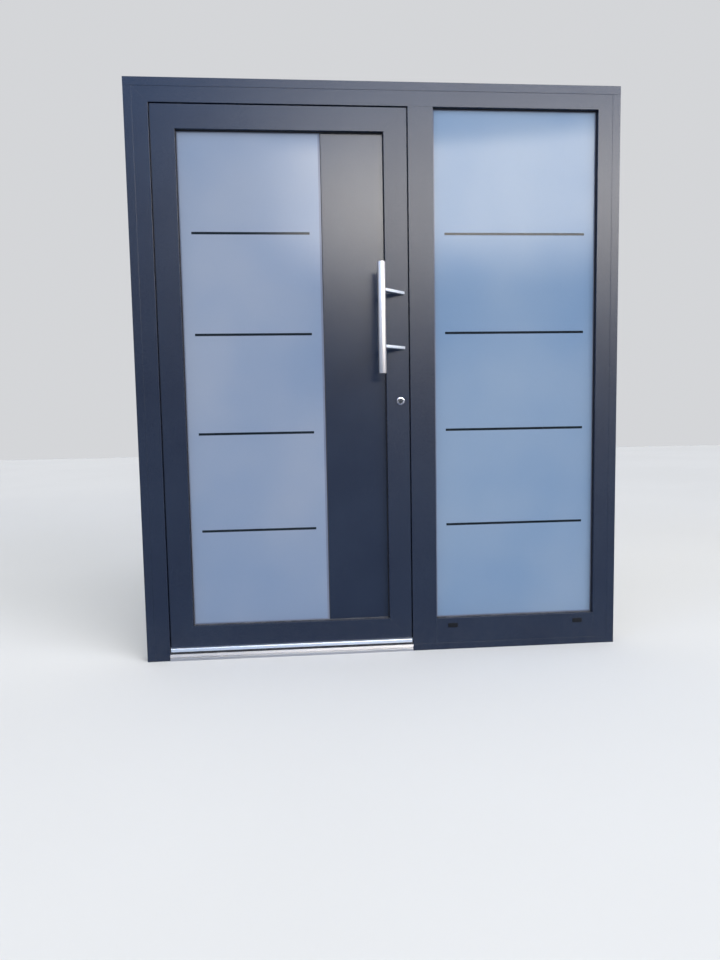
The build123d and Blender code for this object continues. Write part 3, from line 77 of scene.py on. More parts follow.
class Tree:
    """A node tree that is being wired."""

    def __init__(self, tree: Group) -> None:
        """Keep the tree that the nodes go into."""
        self.tree = tree

    def add(self, kind: str, inputs: Mapping[Any, Any] | None = None, **settings: Any) -> bpy.types.Node:
        """Add a node, set its properties, then set or link its inputs.

        Args:
            kind: Blender's name for the node type.
            inputs: a value, or another node's output socket, for each named or numbered input.
            settings: properties of the node itself.

        Returns:
            The new node.
        """
        node = self.tree.nodes.new(kind)
        for name, value in settings.items():
            setattr(node, name, value)
        for name, value in (inputs or {}).items():
            socket = node.inputs[name]
            if isinstance(value, Socket):
                self.tree.links.new(value, socket)
            else:
                socket.default_value = (*value, 1.0) if socket.type == "RGBA" else value
        return node

    def math(self, operation: str, *values: Any) -> Socket:
        """Add a Math node and return its output."""
        return self.add("ShaderNodeMath", dict(enumerate(values)), operation=operation).outputs[0]

    def ramp(self, value: Any, low: Any, high: Any, to_low: float, to_high: float) -> Socket:
        """Map a value from one range to another with soft ends.

        Args:
            value: the socket to map.
            low: value that gives to_low.
            high: value that gives to_high.
            to_low: result at the low end.
            to_high: result at the high end.

        Returns:
            The mapped socket.
        """
        inputs = {"Value": value, "From Min": low, "From Max": high, "To Min": to_low, "To Max": to_high}
        return self.add("ShaderNodeMapRange", inputs, interpolation_type="SMOOTHSTEP").outputs[0]

    def blend(self, factor: Any, first: Any, second: Any) -> Socket:
        """Mix two colours by a factor and return the colour."""
        mix = self.add("ShaderNodeMix", {0: factor, 6: first, 7: second}, data_type="RGBA")
        return mix.outputs[2]


class Effects:
    """The shared shader groups, each of them built once.

    A span holds the two values between which an effect comes in or goes out: of a noise, of how far a
    face looks up, or of how well a rounded normal agrees with its face.
    """

    NOISE_ROUGHNESS = 0.55
    CLOUD_DETAIL = 3.0
    CLOUDS: Span = (0.3, 0.7)
    FACING_UP: Span = (0.2, 0.9)
    SPLASH_TOP = 0.22
    SPLASHED = 0.35
    PATCH_DETAIL = 5.0
    PATCHES: Span = (0.3, 0.75)
    THINNEST = 0.25
    EDGE_SAMPLES = 4
    RUBBED_AND_LIT: Span = (0.75, 0.99)

    def __init__(self) -> None:
        """Build the groups."""
        self.built = {
            Effect.GRAIN: self.grain(),
            Effect.TONE: self.tone(),
            Effect.DUST: self.dust(),
            Effect.EDGE: self.edge(),
        }

    def place(self, tree: Tree, effect: Effect, inputs: Mapping[str, Any]) -> bpy.types.Node:
        """Put an effect's group into a material's tree, with its inputs set, and return its node."""
        return tree.add("ShaderNodeGroup", inputs, node_tree=self.built[effect])

    def opened(
        self, effect: Effect, inputs: Mapping[str, str], outputs: Mapping[str, str]
    ) -> tuple[Tree, Mapping[str, Socket]]:
        """Open a new group with its sockets.

        Args:
            effect: names the group.
            inputs: type of each input, as in Blender's socket names after the word NodeSocket.
            outputs: type of each output, the same way.

        Returns:
            The group's tree, and the sockets that give its inputs' values.
        """
        group = bpy.data.node_groups.new(effect.value, "ShaderNodeTree")
        for way, sockets in (("INPUT", inputs), ("OUTPUT", outputs)):
            for name, kind in sockets.items():
                group.interface.new_socket(name, in_out=way, socket_type=f"NodeSocket{kind}")
        tree = Tree(group)
        return tree, tree.add("NodeGroupInput").outputs

    def noise(
        self, tree: Tree, size: Any, detail: Any, low: Any, high: Any, least: float = 0.0
    ) -> Socket:
        """Noise over the piece's own coordinates, spread out with soft ends.

        Args:
            tree: the tree to build in.
            size: size of one grain in metres, one for all ways or a vector.
            detail: how many finer layers the noise has.
            low: noise that gives the least result.
            high: noise that gives 1.
            least: the least result.

        Returns:
            The noise, from least to 1.
        """
        place = tree.add("ShaderNodeTexCoord").outputs["Object"]
        scaled = tree.add("ShaderNodeVectorMath", {0: place, 1: size}, operation="DIVIDE").outputs[0]
        inputs = {"Vector": scaled, "Scale": 1.0, "Detail": detail, "Roughness": self.NOISE_ROUGHNESS}
        noise = tree.add("ShaderNodeTexNoise", inputs, normalize=True).outputs[0]
        return tree.ramp(noise, low, high, least, 1.0)

    def grain(self) -> Group:
        """Fine grain as in a powder coat, or drawn out one way as on brushed metal.

        Returns:
            The group.
        """
        inputs = {"Size": "Vector", "Detail": "Float", "Low": "Float", "High": "Float"}
        tree, given = self.opened(Effect.GRAIN, inputs, {"Value": "Float"})
        value = self.noise(tree, *[given[name] for name in inputs])
        tree.add("NodeGroupOutput", {"Value": value})
        return tree.tree

    def tone(self) -> Group:
        """Soft drift between two colours over a hand's width.

        Returns:
            The group.
        """
        inputs = {"Base": "Color", "Drift": "Color", "Size": "Float"}
        tree, given = self.opened(Effect.TONE, inputs, {"Colour": "Color"})
        value = self.noise(tree, given["Size"], self.CLOUD_DETAIL, *self.CLOUDS)
        tree.add("NodeGroupOutput", {"Colour": tree.blend(value, given["Base"], given["Drift"])})
        return tree.tree

    def dust(self) -> Group:
        """Pale dust on what faces up, and a little splashed up from the floor.

        Returns:
            The group.
        """
        inputs = {"Size": "Float", "Amount": "Float"}
        tree, given = self.opened(Effect.DUST, inputs, {"Mask": "Float"})
        normal = tree.add("ShaderNodeNewGeometry").outputs["Normal"]
        up = tree.add("ShaderNodeSeparateXYZ", {0: normal}).outputs["Z"]
        place = tree.add("ShaderNodeTexCoord").outputs["Object"]
        height = tree.add("ShaderNodeSeparateXYZ", {0: place}).outputs["Z"]
        facing = tree.ramp(up, *self.FACING_UP, 0.0, 1.0)
        splash = tree.ramp(height, 0.0, self.SPLASH_TOP, self.SPLASHED, 0.0)
        covered = tree.math("MAXIMUM", facing, splash)
        patches = (self.PATCH_DETAIL, *self.PATCHES, self.THINNEST)
        patchy = self.noise(tree, given["Size"], *patches)
        mask = tree.math("MULTIPLY", tree.math("MULTIPLY", covered, patchy), given["Amount"])
        tree.add("NodeGroupOutput", {"Mask": mask})
        return tree.tree

    def edge(self) -> Group:
        """Rounded arrises, with a mask along them for a lighter arris colour: a painted highlight, and
        coat rubbed thin.

        Returns:
            The group.
        """
        outputs = {"Normal": "Vector", "Mask": "Float"}
        tree, given = self.opened(Effect.EDGE, {"Radius": "Float"}, outputs)
        radius = {"Radius": given["Radius"]}
        rounded = tree.add("ShaderNodeBevel", radius, samples=self.EDGE_SAMPLES).outputs[0]
        flat = tree.add("ShaderNodeNewGeometry").outputs["Normal"]
        facing = tree.add("ShaderNodeVectorMath", {0: rounded, 1: flat}, operation="DOT_PRODUCT")
        mask = tree.ramp(facing.outputs["Value"], *self.RUBBED_AND_LIT, 1.0, 0.0)
        tree.add("NodeGroupOutput", {"Normal": rounded, "Mask": mask})
        return tree.tree


EFFECTS = Effects()


@dataclass(frozen=True)
class Finish:
    """A finish: its colours, gloss, grain and how dust and edges show on it. Sizes are in metres."""

    dust_patch: ClassVar[float] = 0.03
    dust_rough: ClassVar[float] = 0.8
    hollow_shade: ClassVar[Span] = (0.9, 1.06)

    name: str
    colour: Colour
    drift: Colour
    drift_size: float = 0.25
    metallic: float = 0.0
    smooth: float = 0.35
    rough: float = 0.5
    grain: float = 0.0006
    streak: Triple | None = None
    depth: float = 0.00002
    strength: float = 0.35
    specular: float = 0.5
    coat: float = 0.0
    coat_rough: float = 0.03
    dust: float = 0.0
    dust_colour: Colour = (0.36, 0.34, 0.31)
    edge_radius: float = 0.0
    # Colour along the arrises: a painted highlight, and coat or finish worn thin there.
    edge_wear_and_highlight: Colour = (0.10, 0.11, 0.12)
    transmission: float = 0.0
    lets_light_by: float = 0.0
    # Colour that reflection rays see in place of the own colour: a painted reflection.
    painted_reflection_colour: Colour | None = None

    def pattern(self, tree: Tree) -> Socket:
        """The finish's own streaks, or else its grain.

        Args:
            tree: the material's tree.

        Returns:
            The pattern, from 0 to 1.
        """
        inputs = {"Size": (self.grain,) * 3, "Detail": 2.0, "Low": 0.3, "High": 0.7}
        if self.streak:
            inputs = {"Size": self.streak, "Detail": 4.0, "Low": 0.28, "High": 0.72}
        return EFFECTS.place(tree, Effect.GRAIN, inputs).outputs["Value"]

    def toned(self, tree: Tree, pattern: Socket) -> Socket:
        """The base colour with its drift, a touch darker in the grain's hollows.

        Args:
            tree: the material's tree.
            pattern: the grain, from 0 to 1.

        Returns:
            The colour socket.
        """
        inputs = {"Base": self.colour, "Drift": self.drift, "Size": self.drift_size}
        drifted = EFFECTS.place(tree, Effect.TONE, inputs).outputs["Colour"]
        shade = tree.ramp(pattern, 0.0, 1.0, *self.hollow_shade)
        scaled = tree.add("ShaderNodeVectorMath", {0: drifted, "Scale": shade}, operation="SCALE")
        return scaled.outputs[0]

    def opacity(self, tree: Tree) -> Any:
        """Full, or for clear glass less where only light passes, so that it casts no dark shade.

        Args:
            tree: the material's tree.

        Returns:
            The opacity, a number or a socket.
        """
        if not self.lets_light_by:
            return 1.0
        path = tree.add("ShaderNodeLightPath").outputs
        passing = tree.math("MAXIMUM", path["Is Shadow Ray"], path["Is Diffuse Ray"])
        return tree.math("SUBTRACT", 1.0, tree.math("MULTIPLY", passing, self.lets_light_by))

    @cache
    def material(self) -> bpy.types.Material:
        """The finish as a material, wired once.

        Returns:
            The material, the same one each time.
        """
        material = bpy.data.materials.new(self.name)
        material.use_nodes = True
        material.node_tree.nodes.clear()
        tree = Tree(material.node_tree)
        pattern = self.pattern(tree)
        colour = self.toned(tree, pattern)
        rough = tree.ramp(pattern, 0.0, 1.0, self.smooth, self.rough)
        bump = {"Strength": self.strength, "Distance": self.depth, "Height": pattern}
        if self.edge_radius:
            edge = EFFECTS.place(tree, Effect.EDGE, {"Radius": self.edge_radius})
            # Lighter arrises: painted highlight, and wear.
            colour = tree.blend(edge.outputs["Mask"], colour, self.edge_wear_and_highlight)
            bump["Normal"] = edge.outputs["Normal"]
        if self.dust:
            inputs = {"Size": self.dust_patch, "Amount": self.dust}
            mask = EFFECTS.place(tree, Effect.DUST, inputs).outputs["Mask"]
            colour = tree.blend(mask, colour, self.dust_colour)
            rough = tree.math("MAXIMUM", rough, tree.ramp(mask, 0.0, 1.0, 0.0, self.dust_rough))
        # Reflection rays see the painted reflection colour instead of the surface's own colour.
        if self.painted_reflection_colour:
            mirrored = tree.add("ShaderNodeLightPath").outputs["Is Glossy Ray"]
            colour = tree.blend(mirrored, colour, self.painted_reflection_colour)
        shader = tree.add(
            "ShaderNodeBsdfPrincipled",
            {
                "Base Color": colour,
                "Roughness": rough,
                "Metallic": self.metallic,
                "Specular IOR Level": self.specular,
                "Coat Weight": self.coat,
                "Coat Roughness": self.coat_rough,
                "Transmission Weight": self.transmission,
                "Alpha": self.opacity(tree),
                "Normal": tree.add("ShaderNodeBump", bump).outputs[0],
            },
        )
        tree.add("ShaderNodeOutputMaterial", {"Surface": shader.outputs[0]})
        return material

    def put_on(self, piece: Piece) -> None:
        """Give a piece this finish all over.

        Args:
            piece: the piece, with or without material slots.
        """
        if not piece.material_slots:
            piece.data.materials.append(None)
        for place in piece.material_slots:
            place.material = self.material()

    def dress(self, *nodes: str) -> None:
        """Give CAD nodes this finish."""
        for name in nodes:
            self.put_on(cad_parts[name])


@dataclass(frozen=True)
class PowderCoat(Finish):
    """Satin polyester powder on aluminium: fine orange peel; softly rounded arrises with painted
    highlight and wear.
    """

    smooth: float = 0.25
    rough: float = 0.33
    grain: float = 0.0009
    depth: float = 0.00003
    strength: float = 0.3
    edge_radius: float = 0.0007


@dataclass(frozen=True)
class BrushedSteel(Finish):
    """Stainless steel with a satin brush."""

    metallic: float = 1.0
    smooth: float = 0.16
    rough: float = 0.30
    depth: float = 0.00001
    strength: float = 0.25
    drift_size: float = 0.06


@dataclass(frozen=True)
class BareAluminium(BrushedSteel):
    """Uncoated aluminium with the fine lines of its extrusion along X, and a painted highlight and wear
    on its arrises.
    """

    streak: Triple | None = (0.4, 0.0005, 0.0005)
    strength: float = 0.06
    edge_radius: float = 0.0005


@dataclass(frozen=True)
class FloatGlass(Finish):
    """Glass: a polished face over what lies behind it."""

    smooth: float = 0.4
    rough: float = 0.5
    coat: float = 0.21
    coat_rough: float = 0.015
    strength: float = 0.0
    specular: float = 0.0


@dataclass(frozen=True)
class Rubber(Finish):
    """Matt black extruded rubber with a faint bloom."""

    smooth: float = 0.55
    rough: float = 0.75
    grain: float = 0.0007
    strength: float = 0.3
    specular: float = 0.2


@dataclass(frozen=True)
class Moulding(Finish):
    """Moulded or foamed plastic."""

    smooth: float = 0.45
    rough: float = 0.65
    grain: float = 0.0008
    strength: float = 0.4


ANTHRACITE = PowderCoat(
    "anthracite_powder_coat", (0.0070, 0.0118, 0.0255), (0.0092, 0.0150, 0.030),
    specular=0.32, dust=0.05,
)
ANTHRACITE_SHEET = PowderCoat(
    "anthracite_sheet_coat", (0.0066, 0.0113, 0.0245), (0.0088, 0.0145, 0.029),
    specular=0.36, smooth=0.20, rough=0.28, grain=0.0014,
)
STEEL_LENGTHWISE = BrushedSteel(
    "satin_steel_lengthwise", (0.63, 0.58, 0.53), (0.59, 0.54, 0.49),
    smooth=0.42, rough=0.54, streak=(0.0004, 0.0004, 0.06),
)
# A lighter copy of the bar's steel, so that the arms' sides read as lit: painted light.
STEEL_ARMS = BrushedSteel(
    "satin_steel_arms", (0.72, 0.72, 0.72), (0.67, 0.67, 0.67),
    smooth=0.38, rough=0.50, streak=(0.02, 0.02, 0.0004),
)
STEEL_TURNED = BrushedSteel(
    "satin_steel_turned", (0.42, 0.42, 0.44), (0.38, 0.38, 0.40),
    streak=(0.05, 0.0003, 0.0004),
)
ZINC = BrushedSteel(
    "zinc_plated_steel", (0.50, 0.51, 0.50), (0.42, 0.43, 0.40),
    smooth=0.32, rough=0.48, streak=(0.002, 0.002, 0.006), drift_size=0.02,
)
NICKEL = BrushedSteel(
    "nickel_plated_brass", (0.42, 0.405, 0.37), (0.37, 0.355, 0.32),
    smooth=0.08, rough=0.18, strength=0.1, streak=(0.03, 0.0004, 0.0005), drift_size=0.02,
)
ANODISED = BareAluminium(
    "natural_anodised_aluminium", (0.91, 0.94, 0.95), (0.87, 0.90, 0.92),
    smooth=0.36, rough=0.42, dust=0.2, edge_wear_and_highlight=(0.88, 0.88, 0.88),
)
WALKED_ON = BareAluminium(
    "threshold_aluminium", (0.52, 0.50, 0.48), (0.47, 0.45, 0.43),
    smooth=0.38, rough=0.48, drift_size=0.6, dust=0.25, edge_wear_and_highlight=(0.86, 0.86, 0.85),
)
MILL = BrushedSteel(
    "mill_finish_aluminium", (0.62, 0.63, 0.64), (0.52, 0.53, 0.54),
    smooth=0.35, rough=0.55, streak=(0.001, 0.03, 0.0008),
)
FROSTED_LEAF = FloatGlass(
    "sandblasted_glass_leaf", (0.130, 0.177, 0.268), (0.184, 0.219, 0.290),
    drift_size=0.8, grain=0.0004,
)
FROSTED_SIDELIGHT = FloatGlass(
    "sandblasted_glass_sidelight", (0.116, 0.179, 0.283), (0.161, 0.218, 0.306),
    drift_size=0.8, grain=0.0004,
)
RIM_GLASS = FloatGlass(
    "spacer_behind_clear_rim", (0.13, 0.15, 0.21), (0.10, 0.12, 0.18), grain=0.002
)
# Clear strips painted near-black under a glossy face: painted shade for the unlit room behind them.
DARK_ROOM_STRIP = FloatGlass(
    "clear_strip_painted_dark_room", (0.006, 0.009, 0.013), (0.009, 0.012, 0.016),
    smooth=0.05, rough=0.09, drift_size=0.4,
)
CLEAR_GLASS = FloatGlass(
    "clear_float_glass", (0.965, 0.985, 0.98), (0.97, 0.99, 0.985),
    smooth=0.0, rough=0.02, coat=0.0, specular=0.5, transmission=1.0, lets_light_by=0.92,
)
# Its dust mask lightens upward and low faces to a blue-grey: dust, and painted sky light on the gaskets'
# lower ledges.
RUBBER = Rubber(
    "black_rubber", (0.010, 0.010, 0.012), (0.018, 0.018, 0.020),
    dust=0.3, dust_colour=(0.27, 0.29, 0.34),
)
SEALANT = Rubber("black_sealant", (0.012, 0.013, 0.016), (0.018, 0.019, 0.022), smooth=0.4)
BREAK = Moulding("insulating_strip", (0.020, 0.020, 0.021), (0.030, 0.030, 0.031))
HOOD = Moulding("black_moulding", (0.004, 0.005, 0.007), (0.007, 0.008, 0.010), specular=0.1)
SPACER = Moulding("grey_spacer_bar", (0.15, 0.155, 0.165), (0.12, 0.125, 0.135), grain=0.002)
FOAM = Moulding("insulating_foam", (0.72, 0.70, 0.58), (0.64, 0.62, 0.50), grain=0.0015, depth=0.0003)
SEAM = Moulding("shadow_line", (0.006, 0.007, 0.010), (0.010, 0.011, 0.014), smooth=0.7)
# The floor is painted darker and bluer where it shows in reflections: a painted reflection.
PALE_FLOOR = Moulding(
    "pale_floor", (0.66, 0.65, 0.635), (0.68, 0.67, 0.655),
    drift_size=2.0, smooth=0.9, rough=1.0, specular=0.0, painted_reflection_colour=(0.26, 0.32, 0.44),
)


class Bench:
    """The modelling steps that every piece is made with.

    MID_ROUND is the share of a turned rounding's width that its middle lies in from the corner.
    """

    SHARP_ANGLE = math.radians(35)
    ROUND_ANGLE = math.radians(40)
    ROUND_STEPS = 4
    ALIGNED = 0.99
    MERGE_DISTANCE = 0.001 * MM
    MID_ROUND = 0.3

    @staticmethod
    def clear() -> None:
        """Leave edit mode and leave nothing selected."""
        if bpy.context.mode != "OBJECT":
            bpy.ops.object.mode_set(mode="OBJECT")
        bpy.ops.object.select_all(action="DESELECT")

    @staticmethod
    def pick(piece: Piece) -> None:
        """Select one piece alone and make it active.

        Args:
            piece: the piece.
        """
        Bench.clear()
        piece.select_set(True)
        bpy.context.view_layer.objects.active = piece

    @staticmethod
    def open(piece: Piece) -> None:
        """Open a piece in edit mode with all of it selected.

        Args:
            piece: the piece.
        """
        Bench.pick(piece)
        bpy.ops.object.mode_set(mode="EDIT")
        bpy.ops.mesh.select_all(action="SELECT")

    @staticmethod
    def settle(name: str) -> Piece:
        """Name the active piece and move its place, turn and size into its mesh.

        Args:
            name: its new name.

        Returns:
            The piece.
        """
        piece = bpy.context.object
        Bench.pick(piece)
        piece.name = name
        piece.data.name = name
        bpy.ops.object.transform_apply(location=True, rotation=True, scale=True)
        return piece

    @staticmethod
    def block(name: str, low: Point, high: Point) -> Piece:
        """Add a block between two corners.

        Args:
            name: the piece's name.
            low: lowest corner.
            high: highest corner.

        Returns:
            The block.
        """
        Bench.clear()
        first, last = Vector(low), Vector(high)
        bpy.ops.mesh.primitive_cube_add(size=1.0, location=(first + last) / 2, scale=last - first)
        return Bench.settle(name)

    @staticmethod
    def modify(piece: Piece, kind: str, **settings: Any) -> None:
        """Add a modifier to a piece and apply it.

        Args:
            piece: the piece.
            kind: Blender's name for the modifier.
            settings: the modifier's properties.
        """
        Bench.pick(piece)
        bpy.ops.object.modifier_add(type=kind)
        modifier = piece.modifiers[-1]
        for name, value in settings.items():
            setattr(modifier, name, value)
        bpy.ops.object.modifier_apply(modifier=modifier.name)

    @staticmethod
    def cut(piece: Piece, *tools: Piece) -> Piece:
        """Cut tools out of a piece and throw the tools away.

        Args:
            piece: the piece.
            tools: closed pieces that overlap it.

        Returns:
            The piece.
        """
        for tool in tools:
            Bench.modify(piece, "BOOLEAN", operation="DIFFERENCE", solver="EXACT", object=tool)
            bpy.data.objects.remove(tool)
        return piece

    @staticmethod
    def soften(piece: Piece, width: float) -> None:
        """Round every sharp edge of a piece to a width."""
        sharp = {"limit_method": "ANGLE", "angle_limit": Bench.ROUND_ANGLE}
        Bench.modify(piece, "BEVEL", width=width, segments=Bench.ROUND_STEPS, **sharp)

    @staticmethod
    def smooth(piece: Piece) -> Piece:
        """Shade a piece smooth but for its sharp edges.

        Args:
            piece: the piece.

        Returns:
            The piece.
        """
        Bench.pick(piece)
        bpy.ops.object.shade_smooth_by_angle(angle=Bench.SHARP_ANGLE)
        return piece

    @staticmethod
    def round_corners(piece: Piece, radius: float, segments: int) -> None:
        """Round the edges of a block that run along Y, from its outer to its inner face.

        Args:
            piece: the block.
            radius: radius of the corners.
            segments: faces round each corner.
        """
        Bench.pick(piece)
        bpy.ops.object.mode_set(mode="EDIT")
        bpy.ops.mesh.select_mode(type="EDGE")
        bpy.ops.mesh.select_all(action="DESELECT")
        bpy.ops.object.mode_set(mode="OBJECT")
        mesh = piece.data
        for edge in mesh.edges:
            first, last = (mesh.vertices[i].co for i in edge.vertices)
            edge.select = abs((last - first).normalized().y) > Bench.ALIGNED
        bpy.ops.object.mode_set(mode="EDIT")
        bpy.ops.mesh.bevel(offset=radius, segments=segments, affect="EDGES")
        bpy.ops.object.mode_set(mode="OBJECT")

    @staticmethod
    def draw_out(step: Point, share: float = 1.0, centre: Point = (0, 0, 0)) -> None:
        """Extrude what is selected by a step, then scale its end by a share about a centre."""
        bpy.ops.mesh.extrude_region_move(TRANSFORM_OT_translate={"value": step})
        bpy.ops.transform.resize(value=(share,) * 3, center_override=centre)

    @staticmethod
    def turned(
        name: str, centre: Point, axis: Point, stations: Sequence[Span], sides: int = 96
    ) -> Piece:
        """Turn a piece: a circle is drawn out from station to station along an axis.

        Args:
            name: the piece's name.
            centre: point that the stations are measured from.
            axis: direction that they are measured in.
            stations: radius and distance of each station. A ring's last station is its first again.
            sides: facets round it.

        Returns:
            The turned piece, closed.
        """
        Bench.clear()
        middle, way = Vector(centre), Vector(axis).normalized()
        radius, along = stations[0]
        bpy.ops.mesh.primitive_circle_add(
            vertices=sides,
            radius=radius,
            location=middle + way * along,
            rotation=way.to_track_quat("Z", "Y").to_euler(),
        )
        piece = Bench.settle(name)
        Bench.open(piece)
        for next_radius, next_along in stations[1:]:
            step = way * (next_along - along)
            Bench.draw_out(step, next_radius / radius, middle + way * next_along)
            radius, along = next_radius, next_along
        return Bench.close(piece)

    @staticmethod
    def close(piece: Piece) -> Piece:
        """Merge doubles, fill open ends and turn the faces outwards.

        Args:
            piece: the piece.

        Returns:
            The piece.
        """
        Bench.open(piece)
        bpy.ops.mesh.remove_doubles(threshold=Bench.MERGE_DISTANCE)
        bpy.ops.mesh.fill_holes(sides=0)
        bpy.ops.mesh.select_all(action="SELECT")
        bpy.ops.mesh.normals_make_consistent(inside=False)
        bpy.ops.object.mode_set(mode="OBJECT")
        return piece

    @staticmethod
    def copy(piece: Piece, name: str, shift: Point, turn: Matrix) -> Piece:
        """Copy a piece with a mesh of its own.

        Args:
            piece: the piece to copy.
            name: the copy's name.
            shift: how far the copy is moved.
            turn: rotation about the origin, before the move.

        Returns:
            The copy.
        """
        Bench.pick(piece)
        bpy.ops.object.duplicate(linked=False)
        bpy.context.object.matrix_world = Matrix.Translation(Vector(shift)) @ turn
        return Bench.settle(name)

    @staticmethod
    def join(name: str, pieces: Sequence[Piece]) -> Piece:
        """Join pieces into one object.

        Args:
            name: the object's name.
            pieces: the pieces.

        Returns:
            The object.
        """
        Bench.pick(pieces[0])
        for piece in pieces:
            piece.select_set(True)
        bpy.ops.object.join()
        return Bench.settle(name)


@dataclass
class SubAssembly:
    """A part of the door: what it adds, and the body that it moves with."""

    body: str = "frame"
    pieces: list[Piece] = field(default_factory=list)

    def add(self, piece: Piece, finish: Finish, slot: str, *replaced: str, body: str = "") -> None:
        """Finish a new piece and hand it to its body.

        Args:
            piece: the piece, in place.
            finish: what it is finished in.
            slot: the record's material slot; not used.
            replaced: CAD nodes that it stands for.
            body: the body it rides on, where that isn't the sub-assembly's own.
        """
        finish.put_on(piece)
        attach(piece, body or self.body)
        if replaced:
            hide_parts(*replaced)
        self.pieces.append(piece)

    def report(self) -> None:
        """Log each new piece with its number of faces."""
        for piece in self.pieces:
            LOG.info("%s: %s, %d faces", type(self).__name__, piece.name, len(piece.data.polygons))


@dataclass
class MitreSeams(SubAssembly):
    """Hairlines where the leaf's profiles meet at 45 degrees, on both faces."""

    body: str = "leaf"
    members: tuple[str, ...] = (
        "leaf_stile_hinge", "leaf_stile_lock", "leaf_rail_top", "leaf_rail_bottom",
    )
    face: float = 84 * MM
    width: float = 0.45 * MM
    proud: float = 0.04 * MM

    def build(self) -> None:
        """Lay a hairline across each mitre, outside and inside, a hair proud of the face."""
        lows, highs = zip(*[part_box(name) for name in self.members])
        low = Vector(map(min, zip(*lows)))
        high = Vector(map(max, zip(*highs)))
        lines = []
        for level in (low.y, high.y):
            for x, right in ((low.x, 1), (high.x, -1)):
                for z, up in ((low.z, 1), (high.z, -1)):
                    run = Vector((right, 0, up)) * self.face
                    lines.append(self.line(Vector((x, level, z)), run))
        self.add(Bench.join("leaf_mitre_seams", lines), SEAM, "anthracite_profile")

    def line(self, corner: Vector, run: Vector) -> Piece:
        """One hairline.

        Args:
            corner: outer end of the mitre.
            run: from the outer to the inner end.

        Returns:
            The hairline.
        """
        Bench.clear()
        bpy.ops.mesh.primitive_cube_add(
            size=1.0,
            location=corner + run / 2,
            rotation=(0, -math.atan2(run.z, run.x), 0),
            scale=(run.length - 2 * self.width, 2 * self.proud, self.width),
        )
        return Bench.settle("seam")


@dataclass
class OuterFrame(SubAssembly):
    """Frame profiles, extensions, base profiles, threshold and the sidelight's drain hoods."""

    hood_width: float = 38 * MM
    hood_corner: float = 4 * MM
    corner_steps: int = 8
    hood_rim: float = 1.1 * MM
    hood_wall: float = 1.2 * MM
    mouth_share: float = 0.79
    mouth_rise: float = 0.45

    def build(self) -> None:
        """Dress the profiles and model the hoods."""
        ANTHRACITE.dress(
            "frame_jamb_left", "frame_jamb_right", "frame_head", "mullion", "sidelight_rail",
            "extension_left", "extension_right", "extension_head", "base_profiles", "sidelight_beads",
        )
        BREAK.dress("frame_thermal_breaks")
        MILL.dress("frame_corner_cleats")
        WALKED_ON.dress("threshold")
        RUBBER.dress("frame_seal", "sidelight_gaskets")
        low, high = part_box("drain_caps")
        hoods = [self.hood(left, low, high) for left in (low.x, high.x - self.hood_width)]
        self.add(Bench.join("drain_hoods", hoods), HOOD, "drain_cap", "drain_caps")

    def hood(self, left: float, low: Vector, high: Vector) -> Piece:
        """A moulded hood with a soft rim, open below.

        Args:
            left: the hood's left side.
            low: lowest corner of both hoods.
            high: highest corner of both hoods.

        Returns:
            The hood.
        """
        right = left + self.hood_width
        hood = Bench.block("drain_hood", (left, low.y, low.z), (right, high.y, high.z))
        Bench.round_corners(hood, self.hood_corner, self.corner_steps)
        Bench.soften(hood, self.hood_rim)
        edge = self.hood_width * (1 - self.mouth_share) / 2
        top = low.z + (high.z - low.z) * self.mouth_rise
        mouth = Bench.block(
            "mouth",
            (left + edge, low.y + self.hood_wall, low.z - self.hood_corner),
            (right - edge, high.y + self.hood_wall, top),
        )
        return Bench.smooth(Bench.cut(hood, mouth))


@dataclass
class LeafFrame(SubAssembly):
    """The leaf's profiles with their seals, drip bar and infill panel."""

    body: str = "leaf"

    def build(self) -> None:
        """Dress the profiles, seals, panel and drip bar."""
        ANTHRACITE.dress(
            "leaf_stile_hinge", "leaf_stile_lock", "leaf_rail_top", "leaf_rail_bottom", "leaf_beads"
        )
        ANTHRACITE_SHEET.dress("panel_skins")
        FOAM.dress("panel_core")
        SEALANT.dress("infill_joint_seal")
        BREAK.dress("leaf_thermal_breaks")
        MILL.dress("leaf_corner_cleats")
        ANODISED.dress("drip_bar")
        RUBBER.dress("leaf_gaskets", "leaf_seal", "bottom_seal")


